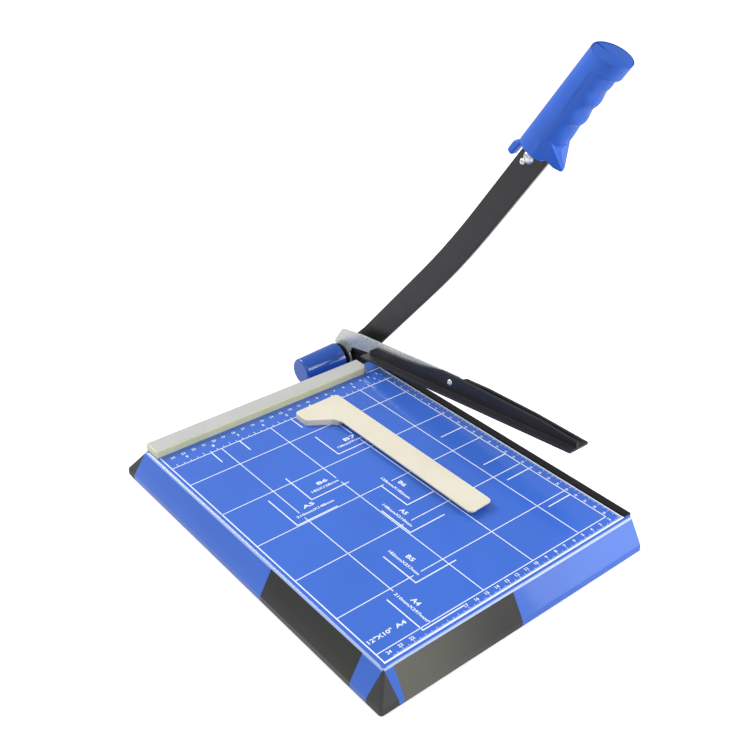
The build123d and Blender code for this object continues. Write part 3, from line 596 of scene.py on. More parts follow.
@dataclass(frozen=True)
class Ink:
    """Screen printed ink: almost flat, with slightly thin patches."""

    name: str
    tone: tuple
    thin: tuple
    thin_share: float = 0.4
    patches: Grain = Grain(220.0, span=(0.62, 0.85))
    roughness: float = 0.5
    swing: float = 0.1
    haze: Grain = Grain(400.0)

    def make(self) -> bpy.types.Material:
        """Thin patches are noise between the ink's colour and the paint below it."""
        paint = Paint(self.name)
        thin = paint.noise(self.patches) * self.thin_share
        paint.set(Base_Color=paint.mix(thin, self.tone, self.thin),
                  Roughness=paint.about(self.roughness, self.swing, paint.noise(self.haze)))
        return paint.owner


def foils() -> tuple:
    """The two blank foils, on the front and on the left skirt, placed from the table's own frame."""
    x, y, z = BENCH.origin
    run, drop = 12.0, 1.5
    front, left = low("base_pan")[1] + run, low("base_pan")[0] + run
    grey, dark = (colour(96, 97, 88), colour(40, 40, 40)), (colour(42, 45, 40), colour(34, 34, 36))
    return (Foil(0, (x - 244.0) * MM, (x - 133.8) * MM, front * MM, (z - drop) * MM, grey),
            Foil(1, (y - 285.5) * MM, (y - 176.4) * MM, left * MM, (z - drop) * MM, dark))


def bend_highlight_heights() -> tuple:
    """Heights of the painted highlight on the pan's bends, in metres: where it starts, is full, and ends
    again.
    """
    return tuple((BENCH.origin[2] + height) * MM for height in (-2.1, -1.2, -0.35, -0.1))


class Finish(Enum):
    """Every finish on the trimmer."""

    # the blue enamel carries a painted highlight along the pan's bends
    BLUE = Enamel("blue_enamel", colour(58, 108, 209), colour(55, 103, 202), foils=foils(),
                  bend_highlight=bend_highlight_heights())
    TUBE = Enamel("blue_tube", colour(40, 88, 180), colour(37, 82, 170), 0.22, 0.5)
    CREAM = Moulded("cream_moulding", colour(216, 217, 178), colour(208, 210, 164), 0.4, inner=0.25)
    GREY = Moulded("grey_insert", colour(189, 190, 187), colour(183, 184, 181), 0.5)
    GUIDE = Moulded("guide_moulding", colour(226, 220, 202), colour(221, 215, 195), 0.45, inner=0.15)
    CORNER = Moulded("corner_moulding", colour(50, 50, 52), colour(58, 58, 61), 0.5)
    GUARD = Moulded("guard_moulding", colour(30, 30, 36), colour(38, 38, 44), 0.42,
                    relief=(0.00005, 0.5), specular=0.38)
    HANDLE = Moulded("handle_moulding", colour(53, 104, 208), colour(50, 99, 201), 0.36, coat=0.12,
                     specular=0.2)
    MAGNET = Metal("magnet", colour(40, 40, 42), 0.4, 0.4)
    ZINC = Zinc("zinc_plate", colour(214, 238, 238), colour(216, 220, 208))
    STEEL = Metal("bright_screw", colour(236, 236, 238), 0.24)
    PIVOT = Metal("pivot_metal", colour(120, 120, 124), 0.35)
    SPRING = Metal("spring_wire", colour(150, 150, 152), 0.3)
    KNIFE = Metal("knife_black", colour(27, 26, 28), 0.42, 0.0, (60.0, 900.0, 900.0), wear=0.02,
                  specular=0.26)
    BLADE = Metal("arm_black", colour(24, 23, 27), 0.4, 0.0, (700.0, 60.0, 60.0), wear=0.0)
    LAND = Metal("ground_edge", colour(168, 168, 170), 0.3, 1.0, (900.0, 200.0, 200.0), wear=0.0)
    RUBBER = Rubber("foot_rubber", colour(34, 34, 35), colour(80, 80, 78))
    INK = Ink("white_ink", colour(236, 242, 250), colour(150, 180, 236))


class Palette:
    """The finishes' materials, each made once."""

    made: dict = {}

    @classmethod
    def of(cls, finish: Finish) -> bpy.types.Material:
        """The material of a finish."""
        if finish not in cls.made:
            cls.made[finish] = finish.value.make()
        return cls.made[finish]


def dress(obj: bpy.types.Object, finish: Finish) -> bpy.types.Object:
    """Gives a piece or a CAD node one finish all over."""
    obj.data.materials.clear()
    obj.data.materials.append(Palette.of(finish))
    return obj


def fit(obj: bpy.types.Object, body: str, finish: Optional[Finish] = None) -> bpy.types.Object:
    """Makes a finished piece ride on its body, and reports it.

    Args:
        obj: the piece.
        body: CAD body that carries it.
        finish: finish to dress it in, unless it is dressed already.

    Returns:
        The same object.
    """
    if finish is not None:
        dress(obj, finish)
    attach(obj, body)
    log.info("piece %s on %s, %d faces", obj.name, body, len(obj.data.polygons))
    return obj


def face_up(obj: bpy.types.Object, finish: Finish, least: float = 0.9) -> bpy.types.Object:
    """Gives the faces of a piece that look straight up a second finish."""
    obj.data.materials.append(Palette.of(finish))
    normal = np.zeros(len(obj.data.polygons) * 3)
    obj.data.polygons.foreach_get("normal", normal)
    obj.data.polygons.foreach_set("material_index", (normal[2::3] > least).astype(int))
    return obj


# Table with its print

@dataclass(frozen=True)
class Words:
    """A short line of print: its text, where it starts, how long and tall it is, and its turn."""

    text: str
    left: float
    front: float
    height: float
    length: float = 0.0
    turn: float = 0.0


@dataclass(frozen=True)
class Ruler:
    """Numbers of one ruler: first and last, pitch, gap of short and of long numbers, line and height."""

    first: int
    last: int
    pitch: float
    gaps: tuple
    line: float
    height: float
    forward: bool = False
    missing: tuple = ()

    def words(self) -> list:
        """Each number as a line of print, along the ruler's line or, where it runs forward, beside it."""
        out = []
        for n in (n for n in range(self.first, self.last + 1) if n not in self.missing):
            gap, along = self.gaps[n > 9], self.pitch * n
            left, front = (gap, along + self.line) if self.forward else (along + gap, self.line)
            out.append(Words(str(n), left, front, self.height))
        return out


@dataclass
class TablePrint:
    """White print on the table, in millimetres: u runs left from the knife, v forward from the fence."""

    rise: float = 0.07
    stagger: float = 0.002
    heights: int = 7
    sink: float = 0.03
    thin: float = 0.75
    bold: float = 1.0
    hair: float = 0.28
    left: float = 247.7
    edge: float = 9.1
    inner: float = 18.8
    rear: float = 20.3
    front_line: float = 293.9
    front: float = 303.1
    left_start: float = 0.5
    first: float = -1.0
    first_end: float = 26.0
    front_width: float = 1.5
    quarter: float = 6.35
    quarters: int = 38
    quarter_reach: tuple = (4.0, 2.6)
    quarter_width: float = 1.4
    front_ticks: int = 239
    front_reach: tuple = (3.4, 2.8, 1.7)
    edge_ticks: int = 301
    edge_reach: tuple = (3.6, 2.8, 1.5)
    swell: float = 0.022
    merge: float = 1e-6
    columns: tuple = (
        (50.0, ((20.3, 293.9),)), (100.0, ((20.3, 73.0), (86.5, 293.9))),
        (150.0, ((20.3, 117.5), (125.0, 293.9))), (200.0, ((20.3, 136.5), (144.5, 253.0), (291.8, 293.9))))
    rows: tuple = (
        (50.0, ((18.8, 247.7),)), (100.0, ((18.8, 247.7),)), (150.0, ((18.8, 117.0), (126.0, 247.7))),
        (200.0, ((18.8, 138.0), (146.5, 247.7))), (250.0, ((18.8, 171.0), (178.5, 247.7))))
    brackets: tuple = (
        ((128.0, 58.0), (128.0, 91.5), (99.0, 91.5)), ((182.5, 92.3), (182.5, 128.8), (145.7, 128.8)),
        ((210.0, 108.4), (210.0, 148.6), (172.0, 148.6)), ((128.3, 150.6), (128.3, 183.0), (99.6, 183.0)),
        ((148.5, 176.3), (148.5, 211.0), (114.0, 211.0)), ((182.0, 220.0), (182.0, 257.0), (143.4, 257.0)),
        ((209.0, 257.7), (209.0, 296.4), (172.0, 296.4)))
    rear_marks: tuple = (128.0, 182.0, 210.0)
    edge_marks: tuple = (128.0, 182.0, 210.0, 256.5)
    rear_mark_end: float = 37.5
    edge_mark_end: float = 43.4
    words: tuple = (
        Words("B7", 112.0, 79.6, 4.3, 12.5), Words("128mmX91mm", 122.7, 84.6, 2.7, 26.0),
        Words("B6", 167.0, 116.4, 4.0, 10.0), Words("182X128mm", 176.9, 122.4, 2.7, 26.5),
        Words("A5", 194.0, 135.0, 4.0, 10.5), Words("210mmX148mm", 205.0, 141.8, 2.7, 35.6),
        Words("B6", 115.2, 154.7, 4.2, 8.0, -90.0), Words("128mmX182mm", 122.6, 141.6, 2.7, 36.3, -90.0),
        Words("A5", 138.0, 184.0, 4.2, 7.8, -90.0), Words("148mmX210mm", 143.8, 170.2, 2.7, 35.5, -90.0),
        Words("B5", 169.6, 230.0, 4.2, 7.8, -90.0), Words("182mmX257mm", 175.9, 217.3, 2.7, 34.4, -90.0),
        Words("A4", 196.8, 268.0, 4.4, 8.2, -90.0), Words("210mmX297mm", 202.0, 256.0, 2.7, 35.8, -90.0),
        Words('12"X10"', 245.4, 284.0, 3.9, 21.0), Words("A4", 221.5, 284.0, 3.9, 9.0))
    rulers: tuple = (
        Ruler(2, 24, 10.0, (0.1, 1.0), 7.5, 2.9), Ruler(1, 9, 25.4, (1.2, 1.2), 13.8, 3.4),
        Ruler(1, 24, 10.0, (0.2, 1.6), 298.9, 3.0, missing=(18, 19, 20, 21)),
        Ruler(1, 29, 10.0, (16.9, 17.6), 1.1, 2.3, forward=True))

    @staticmethod
    def bar(start: tuple, end: tuple, width: float) -> np.ndarray:
        """Lowest and highest (u, v) of a straight line, grown by half its width all round."""
        ends = np.array([start, end], float)
        return np.array([ends.min(0) - width / 2, ends.max(0) + width / 2])

    @staticmethod
    def reach(index: int, lengths: tuple) -> float:
        """Length of a millimetre tick: the first at tens, the second at fives, the third elsewhere."""
        ten, five, one = lengths
        return ten if index % 10 == 0 else five if index % 5 == 0 else one

    def bars(self) -> np.ndarray:
        """Every straight line of the print, as (n, 2, 2) corners."""
        out = []
        for u, spans in self.columns:
            out += [self.bar((u, a), (u, b), self.thin) for a, b in spans]
        for v, spans in self.rows:
            out += [self.bar((a, v), (b, v), self.thin) for a, b in spans]
        for a, b, c in self.brackets:
            out += [self.bar(a, b, self.bold), self.bar(b, c, self.bold)]
        out += [self.bar((u, self.rear), (u, self.rear_mark_end), self.bold) for u in self.rear_marks]
        out += [self.bar((self.inner, v), (self.edge_mark_end, v), self.bold) for v in self.edge_marks]
        out += [self.bar((self.left, self.left_start), (self.left, self.front), self.bold),
                self.bar((self.edge, self.first), (self.edge, self.front), self.thin),
                self.bar((self.edge, self.first), (self.first_end, self.first), self.thin),
                self.bar((self.inner, self.rear), (self.inner, self.front_line), self.thin),
                self.bar((self.edge, self.rear), (self.left, self.rear), self.thin),
                self.bar((self.inner, self.front_line), (self.left, self.front_line), self.thin),
                self.bar((self.edge, self.front), (self.left, self.front), self.front_width)]
        quarters = np.arange(1, self.quarters + 1) * self.quarter
        for i, u in enumerate(quarters[quarters > self.inner]):
            end = self.rear - self.quarter_reach[0 if i % 4 == 3 else 1]
            out.append(self.bar((u, self.rear), (u, end), self.hair * self.quarter_width))
        out += [self.bar((i, self.front), (i, self.front - self.reach(i, self.front_reach)), self.hair)
                for i in range(1, self.front_ticks + 1) if i > self.edge + 1]
        out += [self.bar((self.edge, i), (self.edge + self.reach(i, self.edge_reach), i), self.hair)
                for i in range(1, self.edge_ticks + 1)]
        return np.array(out)

    def lines(self) -> bpy.types.Object:
        """All the lines as thin closed slabs, from just under the paint to one of a few heights over it."""
        corners = self.bars()
        count = len(corners)
        x = -corners[:, :, 0][:, ::-1]
        y = -corners[:, :, 1][:, ::-1]
        top = self.rise + self.stagger * (np.arange(count) % self.heights)
        z = np.stack([np.full(count, -self.sink), top], -1)
        ix, iy, iz = (g.ravel() for g in np.meshgrid([0, 1], [0, 1], [0, 1], indexing="ij"))
        points = np.stack([x[:, ix], y[:, iy], z[:, iz]], -1).reshape(-1, 3)
        box = np.array([(0, 1, 3, 2), (4, 6, 7, 5), (0, 4, 5, 1), (2, 3, 7, 6), (0, 2, 6, 4), (1, 5, 7, 3)])
        faces = (box[None] + 8 * np.arange(count)[:, None, None]).reshape(-1, 4)
        return new_object("table_print_lines", BENCH.out(points), faces.tolist(), False)

    def letters(self, line: Words) -> tuple:
        """One text as a closed mesh, from just under to just over the paint.

        The letters' own box is stretched to the wanted length and height, then turned and moved.

        Args:
            line: the text and its place.

        Returns:
            Points (n, 3) in millimetres, and the faces.
        """
        curve = bpy.data.curves.new("words", "FONT")
        curve.body, curve.size, curve.offset = line.text, 1.0, self.swell
        curve.resolution_u, curve.extrude = 2, 0.5
        holder = bpy.data.objects.new(curve.name, curve)
        bpy.context.scene.collection.objects.link(holder)
        graph = bpy.context.evaluated_depsgraph_get()
        mesh = bpy.data.meshes.new_from_object(holder.evaluated_get(graph))
        bpy.data.objects.remove(holder)
        co = np.zeros(len(mesh.vertices) * 3, np.float32)
        mesh.vertices.foreach_get("co", co)
        faces = [list(p.vertices) for p in mesh.polygons]
        bpy.data.meshes.remove(mesh)
        bpy.data.curves.remove(curve)
        x, y, z = co.reshape(-1, 3).astype(float).T
        tall = line.height / np.ptp(y)
        wide = line.length / np.ptp(x) if line.length else tall
        x, y, z = (x - x.min()) * wide, (y - y.min()) * tall, np.where(z > 0, self.rise, -self.sink)
        c, s = math.cos(math.radians(line.turn)), math.sin(math.radians(line.turn))
        return np.stack([-line.left + x * c - y * s, -line.front + x * s + y * c, z], -1), faces

    def numbers(self) -> bpy.types.Object:
        """The paper sizes and the rulers' numbers as raised letters, gathered in one mesh."""
        points, faces, total = [], [], 0
        for line in [*self.words, *(word for ruler in self.rulers for word in ruler.words())]:
            co, made = self.letters(line)
            points.append(co)
            faces += [[v + total for v in face] for face in made]
            total += len(co)
        obj = new_object("table_print_numbers", BENCH.out(np.concatenate(points)), faces, False)
        return tidy_normals(obj, self.merge)


@dataclass
class Table:
    """Pressed steel table, its corner caps, braces, feet and fence."""

    cap_ease: float = 0.3
    strip_ease: float = 0.3
    insert_ease: float = 0.25
    print_: TablePrint = field(default_factory=TablePrint)

    def build(self) -> None:
        """Builds the table's pieces and dresses the CAD nodes that stay."""
        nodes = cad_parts
        dress(nodes["base_pan"], Finish.BLUE)
        fit(self.print_.lines(), TABLE, Finish.INK)
        fit(self.print_.numbers(), TABLE, Finish.INK)
        for end in ("front", "rear"):
            closure = eased_node(f"corner_closure_{end}", f"corner_cap_{end}", self.cap_ease)
            fit(closure, TABLE, Finish.CORNER)
            dress(nodes[f"cross_brace_{end}"], Finish.ZINC)
            for side in ("left", "right"):
                dress(nodes[f"rubber_foot_{end}_{side}"], Finish.RUBBER)
        for node in ("foot_screws", "knife_screws", "fence_screws"):
            dress(nodes[node], Finish.STEEL)
        strip = dress(eased_node("fence_strip", "fence", self.strip_ease), Finish.CREAM)
        fit(face_up(strip, Finish.GREY), TABLE)
        insert = eased_node("fence_insert", "fence_plate", self.insert_ease)
        fit(insert, TABLE, Finish.GREY)


@dataclass
class Guide:
    """Loose paper guide with its magnets."""

    plate_ease: float = 0.25

    def build(self) -> None:
        """Builds the guide."""
        plate = eased_node("guide_plate", "paper_guide", self.plate_ease)
        fit(plate, GUIDE, Finish.GUIDE)
        dress(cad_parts["guide_magnets"], Finish.MAGNET)


@dataclass
class Knife:
    """Fixed knife bar and the pivot with its friction spring."""

    bar_ease: float = 0.3

    def build(self) -> None:
        """Builds the knife bar and dresses the pivot."""
        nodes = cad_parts
        fit(eased_node("knife_bar", "bed_knife", self.bar_ease), TABLE, Finish.KNIFE)
        for node in ("pivot_bolt", "bolt_washer", "end_washer", "lock_nut"):
            dress(nodes[node], Finish.PIVOT)
        for node, finish in (("seat_washer", Finish.KNIFE), ("pivot_spring", Finish.SPRING),
                             ("guard_spacer", Finish.ZINC), ("spring_cap", Finish.TUBE)):
            dress(nodes[node], finish)


def soft(value: np.ndarray, start: float, end: float) -> np.ndarray:
    """0 at start, 1 at end, and a soft curve between: 3 q^2 - 2 q^3 of the share q of the way."""
    q = np.clip((np.asarray(value, float) - start) / (end - start), 0.0, 1.0)
    return q * q * (3.0 - 2.0 * q)


def soft_least(first: np.ndarray, second: np.ndarray, blend: object) -> np.ndarray:
    """The smaller of two, rounded where they cross: less a quarter of h^2 / blend within the blend."""
    h = np.clip(blend - np.abs(first - second), 0.0, None)
    return np.minimum(first, second) - h * h / (4.0 * blend)


def soft_most(first: np.ndarray, second: np.ndarray, blend: object) -> np.ndarray:
    """The larger of two, rounded in the same way."""
    return -soft_least(-first, -second, blend)


@dataclass(frozen=True)
class DomedScrew:
    """Domed screw along x with a cross recess in its head, in millimetres, in the frame of its line."""

    name: str
    node: str
    body: str
    line: Place
    place: tuple
    radius: float
    height: float
    shank: float
    recess: float = 0.55
    arm: float = 0.13
    arm_side: float = 0.04
    arm_end: tuple = (0.66, 0.58)
    fullness: float = 0.8
    centre: float = 0.02
    around: int = 96
    rings: int = 28
    sharp: float = 40.0

    def head(self) -> tuple:
        """Dome h (1 - q^2)^f at share q of the radius, less the recess in a cross with soft sides."""
        q = np.sin(np.linspace(self.centre, 1.0, self.rings) * math.pi / 2)[:, None]
        turn = np.linspace(0.0, 2.0 * math.pi, self.around, endpoint=False)[None, :]
        y, z = q * np.cos(turn), q * np.sin(turn)
        narrow = np.minimum(np.abs(y), np.abs(z))
        wide = np.maximum(np.abs(y), np.abs(z))
        cross = soft(narrow, self.arm + self.arm_side, self.arm - self.arm_side) * soft(wide, *self.arm_end)
        dome = (1.0 - q * q) ** self.fullness + 0.0 * turn
        return y, z, np.maximum(self.height * dome - self.recess * self.height * cross, 0.0)

    def build(self) -> None:
        """Builds the screw: its head's rings, then its underside and its shank, each further in."""
        y, z, out = self.head()
        back = high(self.node)[0] - low(self.node)[0] - self.height
        tail_radius = np.array([1.0, self.shank / self.radius, self.shank / self.radius])[:, None]
        y = np.concatenate([y, tail_radius * y[-1:]]) * self.radius
        z = np.concatenate([z, tail_radius * z[-1:]]) * self.radius
        x = np.concatenate([-out, np.array([0.0, 0.0, back])[:, None] + 0.0 * out[:3]])
        start = low(self.node)[0] + self.height - self.line.origin[0]
        rings = np.stack([start + x, self.place[0] + y, self.place[1] + z], -1)
        points, faces = tube(rings)
        obj = tidy_normals(new_object(self.name, self.line.out(points), faces))
        obj.data.set_sharp_from_angle(angle=math.radians(self.sharp))
        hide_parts(self.node)
        fit(obj, self.body, Finish.STEEL)


@dataclass
class Guard:
    """Zinc guard plate, moulded finger guard and their screw."""

    plate_ease: float = 0.25
    moulding_ease: float = 0.5
    screw: DomedScrew = DomedScrew("guard_screw_dome", "guard_screw", GUARD, GUARD_LINE, (169.4, 26.2),
                                   radius=3.2, height=1.6, shank=1.5)

    def build(self) -> None:
        """Builds the guard."""
        plate = eased_node("guard_hub_plate", "guard_plate", self.plate_ease)
        fit(plate, GUARD, Finish.ZINC)
        moulding = eased_node("guard_moulding", "finger_guard", self.moulding_ease, 3)
        fit(moulding, GUARD, Finish.GUARD)
        dress(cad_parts["guard_nut"], Finish.STEEL)
        self.screw.build()


@dataclass
class Grip:
    """Moulded handle in millimetres: s along the grip from its middle base, t across it, from its own axis."""

    start: float = 94.0
    axis: float = 2.4
    length: float = 101.9
    cap: float = 7.0
    half_width: float = 14.0
    half_height: float = 15.4
    base_lean: float = 0.1998
    end_lean: float = 0.2867
    stop_depth: float = 26.5
    flank: tuple = (16.2, 28.9)
    flank_top: tuple = (13.2, 5.2)
    fillet: float = 3.0
    relief_width: float = 4.6
    relief_top: float = 12.6
    relief: tuple = (7.4, 5.0)
    face: tuple = (15.3, 17.5)
    face_angle: float = 36.9
    valley: float = 8.0
    rim: float = 1.1
    end_rim: float = 1.5
    seam: float = 0.14
    seam_width: float = 0.45
    waves: tuple = ((13.0, 0.0), (16.5, 0.6), (20.5, 1.3), (26.0, 0.5), (41.1, 1.6), (47.1, 0.3),
                    (57.2, 1.9), (66.2, 0.5), (75.6, 2.4), (81.1, 1.6), (88.5, 2.1), (91.3, 0.0))
    fingers: tuple = (22.0, 72.0)
    panel: tuple = ((20.1, 8.5), (53.4, 3.2), (86.6, 1.3), (90.1, 2.7), (91.6, 9.0))
    panel_depth: float = 0.5
    panel_edge: tuple = (-0.5, 0.7)
    panel_fade: tuple = (32.0, 68.0)
    panel_end: tuple = (91.7, 89.9)
    stop_blend: float = 2.0
    face_blend: float = 0.9
    least_blend: float = 0.05
    least_down: float = 0.05
    far: float = 99.0
    fillet_span: tuple = (26.0, 14.0)
    side_gap: float = 0.02
    parting: float = 0.01
    rim_share: float = 0.03
    around: int = 120
    seam_rows: tuple = (0.0, 0.004, 0.010, 0.018)
    seam_free: float = 0.022
    rows: tuple = ((0.0, 10), (0.07, 60), (0.26, 110), (0.85, 34), (0.93, 9))
    rounds: int = 14
    merge: float = 1e-6
    sharp: float = 38.0
    nose_width: float = 8.0
    nose_round: float = 2.4
    nose_power: float = 3.4
    nose_rows: tuple = (9, 40)
    nose_around: int = 48
    nose_sharp: float = 50.0
    nose_line: tuple = ((-28.0, 14.6, 20.8), (-17.0, 14.0, 20.8), (-14.0, 13.5, 18.9), (-11.0, 13.05, 17.2),
                        (-6.0, 12.6, 16.2), (6.0, 11.5, 14.6))

    def steps(self) -> np.ndarray:
        """Shares of the length at which the rings stand: closer at the stop's face and the collar."""
        ends = [start for start, _ in self.rows[1:]] + [1.0]
        parts = [np.linspace(start, end, count) for (start, count), end in zip(self.rows, ends)]
        return np.unique(np.concatenate(parts))

    def turns(self) -> np.ndarray:
        """Angles of a half ring, from the top seam round the side to the bottom seam, closer at both."""
        share = np.linspace(0.0, 1.0, self.around)
        free = share[(share > self.seam_free) & (share < 1.0 - self.seam_free)]
        edge = np.array(self.seam_rows)
        return (np.unique(np.concatenate([edge, free, 1.0 - edge])) - 0.5) * math.pi

    def wave(self, s: np.ndarray) -> np.ndarray:
        """Depth of the finger waves at the bottom: soft curves between measured crests and hollows."""
        at, deep = np.array(self.waves).T
        index = np.clip(np.searchsorted(at, s) - 1, 0, len(at) - 2)
        rise = soft((s - at[index]) / (at[index + 1] - at[index]), 0.0, 1.0)
        return deep[index] + (deep[index + 1] - deep[index]) * rise

    def panel_step(self, s: np.ndarray, t: np.ndarray) -> np.ndarray:
        """Depth of the sunk side panel: a step below the panel line, which fades towards the base."""
        below = -t - np.interp(s, *np.array(self.panel).T)
        fade = soft(s, *self.panel_fade) * soft(s, *self.panel_end)
        return self.panel_depth * soft(below, *self.panel_edge) * fade

    def radius(self, side: int, angle: np.ndarray, s: np.ndarray) -> np.ndarray:
        """Distance from the axis to the skin, in the direction of an angle.

        The bar is an ellipse, less the panel and the waves. The stop is a keel between two straight flanks,
        cut by the sloping face: each is the distance at which a ray meets a plane. The larger of bar and stop
        is the skin, held inside the half width, and a narrow groove runs along the seam. The left half's lower
        base is cut back to the edge between an upright and a level plane, so that the lowered handle passes
        the table.

        Args:
            side: 1 for the right half, -1 for the left.
            angle: radians below the side direction.
            s: millimetres along the axis.

        Returns:
            Distances in millimetres.
        """
        c, d = np.cos(angle), np.sin(angle)
        bar = 1.0 / np.hypot(c / self.half_width, d / self.half_height)
        fingers = soft(angle, *np.radians(self.fingers))
        bar = bar - self.wave(s) * fingers - self.panel_step(s, -bar * d)
        down = np.clip(d, 0.0, None)
        flank = 1.0 / (c / self.flank[0] + down / self.flank[1])
        stop = soft_least(flank, self.stop_depth / np.clip(down, self.least_down, None), self.stop_blend)
        stop = np.where(d * self.flank_top[0] > c * self.flank_top[1], stop, 2.0 * bar - flank)
        stop = soft_most(bar, stop, self.least_blend + self.fillet * soft(s, *self.fillet_span))
        a = math.radians(self.face_angle)
        slope = math.sin(a) * down - math.tan(math.radians(self.valley)) * c
        reach = math.sin(a) * self.face[1] - math.cos(a) * (s - self.face[0])
        ahead = np.clip(reach, 0.0, None)
        face = np.where(slope > NEAR_ZERO, ahead / np.clip(slope, NEAR_ZERO, None), self.far)
        face = np.where(reach <= 0.0, 0.0, face)
        skin = np.maximum(bar, soft_least(stop, face, self.face_blend))
        out, under = np.clip(c, NEAR_ZERO, None), np.clip(d, NEAR_ZERO, None)
        skin = np.minimum(skin, (self.half_width - self.side_gap) / out)
        if side < 0:
            cut = np.maximum(self.relief_width / out, self.relief_top / under)
            skin = skin - np.clip(skin - cut, 0.0, None) * soft(s, *self.relief)
        edge = np.minimum(np.abs(angle - math.pi / 2), np.abs(angle + math.pi / 2)) * skin
        return skin - self.seam * soft(edge, self.seam_width, 0.0)

    def skin(self, side: int, share: np.ndarray, turns: np.ndarray) -> tuple:
        """Points of the skin at shares of the length.

        A ring leans with the slanted base at share 0 and with the slanted end at share 1, so where it
        stands depends on the height across; the two are settled by repeated substitution.

        Args:
            side: 1 for the right half, -1 for the left.
            share: (m,) shares of the length.
            turns: (n,) angles.

        Returns:
            Arrays (m, n) of the distance out, along and across.
        """
        share, angle = share[:, None], turns[None, :]
        t = np.zeros((share.shape[0], angle.shape[1]))
        for _ in range(self.rounds):
            first = -self.base_lean * t
            last = self.length - self.end_lean * t
            s = first + (last - first) * share
            r = self.radius(side, angle + 0.0 * s, s)
            t = 0.5 * t - 0.5 * r * np.sin(angle)
        return r * np.cos(angle), s, t

    def place(self, side: int, x: np.ndarray, s: np.ndarray, t: np.ndarray) -> np.ndarray:
        """Points of a half handle in the shared frame: x out from the arm's middle, on one side."""
        middle = (low("blade_arm")[0] + high("blade_arm")[0]) / 2 - GRIP_LINE.origin[0]
        return GRIP_LINE.out(np.stack([middle + side * x, s + self.start, t + self.axis], -1))

    def closed(self, name: str, rings: np.ndarray, sharp: float) -> bpy.types.Object:
        """A closed piece through rings, with its sharp edges kept from an angle in degrees on."""
        points, faces = tube(rings)
        obj = tidy_normals(new_object(name, points, faces), self.merge)
        obj.data.set_sharp_from_angle(angle=math.radians(sharp))
        return obj

    def rounded(self, rings: tuple, radius: float, way: float, count: int = 5) -> tuple:
        """Rings that round an end off: each is drawn in and moved along, by a quarter circle.

        Args:
            rings: the end ring's (out, along, across) arrays of one row.
            radius: radius of the rounding.
            way: -1 at the base, 1 at the end.
            count: rings added.

        Returns:
            The rings' three arrays, from the end ring outwards.
        """
        x, s, t = (r[None] for r in rings)
        turn = np.linspace(0.0, math.pi / 2, count + 1)[1:, None]
        inward, onward = radius * (1.0 - np.cos(turn)), radius * (np.sin(turn) - 1.0)
        size = np.hypot(x, t)
        shrink = 1.0 - inward / size
        return x * shrink, s + way * onward, t * shrink

    def half(self, name: str, side: int, start: float, end: float, ends: tuple) -> bpy.types.Object:
        """One half of a length of the handle, closed along the parting plane.

        Args:
            name: name of the piece.
            side: 1 for the right half, -1 for the left.
            start: share of the length where it starts.
            end: share where it ends.
            ends: radius of the rounding at the start and at the end, one of them 0.

        Returns:
            The new object.
        """
        share = self.steps()
        share = np.unique(np.concatenate([[start, end], share[(share > start) & (share < end)]]))
        x, s, t = self.skin(side, share, self.turns())
        if ends[0]:
            s = s + ends[0] * soft(share, self.rim_share, 0.0)[:, None]
            more = [a[::-1] for a in self.rounded((x[0], s[0], t[0]), ends[0], -1.0)]
            x, s, t = (np.concatenate([m, a]) for m, a in zip(more, (x, s, t)))
        if ends[1]:
            s = s - ends[1] * soft(share, 1.0 - self.rim_share, 1.0)[:, None]
            more = self.rounded((x[-1], s[-1], t[-1]), ends[1], 1.0)
            x, s, t = (np.concatenate([a, m]) for m, a in zip(more, (x, s, t)))
        return self.closed(name, self.place(side, x + self.parting, s, t), self.sharp)

    def nose(self) -> bpy.types.Object:
        """The nose above the arm: a rounded bar swept from its tip into the grip.

        Each ring is a superellipse between the low and high lines, and the tip's rings shrink by a quarter
        circle.
        """
        line = np.array(self.nose_line)
        radius, power = self.nose_round, self.nose_power
        tip, rest = self.nose_rows
        turn = np.linspace(0.02, math.pi / 2, tip)
        start = line[0, 0] + radius * (1.0 - np.cos(turn))
        s = np.concatenate([start, np.linspace(line[0, 0] + radius, line[-1, 0], rest)[1:]])
        drawn = np.concatenate([radius * (1.0 - np.sin(turn)), np.zeros(rest - 1)])[:, None]
        bottom, top = (np.interp(s, line[:, 0], line[:, i])[:, None] for i in (1, 2))
        angle = np.linspace(0.0, 2.0 * math.pi, self.nose_around, endpoint=False)[None, :]
        c, d = np.cos(angle), np.sin(angle)
        round_off = (np.abs(c) ** power + np.abs(d) ** power) ** (-1.0 / power)
        x = self.nose_width / 2 + (self.nose_width / 2 - drawn) * c * round_off
        t = (bottom + top) / 2 + ((top - bottom) / 2 - drawn) * d * round_off
        return self.closed("handle_nose", self.place(1, x, s[:, None] + 0.0 * x, t), self.nose_sharp)

    def build(self) -> None:
        """Builds the nose, both halves and the two halves of the end cap."""
        fit(self.nose(), ARM, Finish.HANDLE)
        cut = 1.0 - self.cap / self.length
        base, cap = (0.0, cut, (self.rim, 0.0)), (cut, 1.0, (0.0, self.end_rim))
        for name, side, node, span in (("handle_grip_left", -1, "handle_left", base),
                                       ("handle_grip_right", 1, "handle_right", base),
                                       ("handle_cap_left", -1, "handle_end_cap", cap),
                                       ("handle_cap_right", 1, "handle_end_cap", cap)):
            obj = self.half(name, side, *span)
            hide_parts(node)
            fit(obj, ARM, Finish.HANDLE)


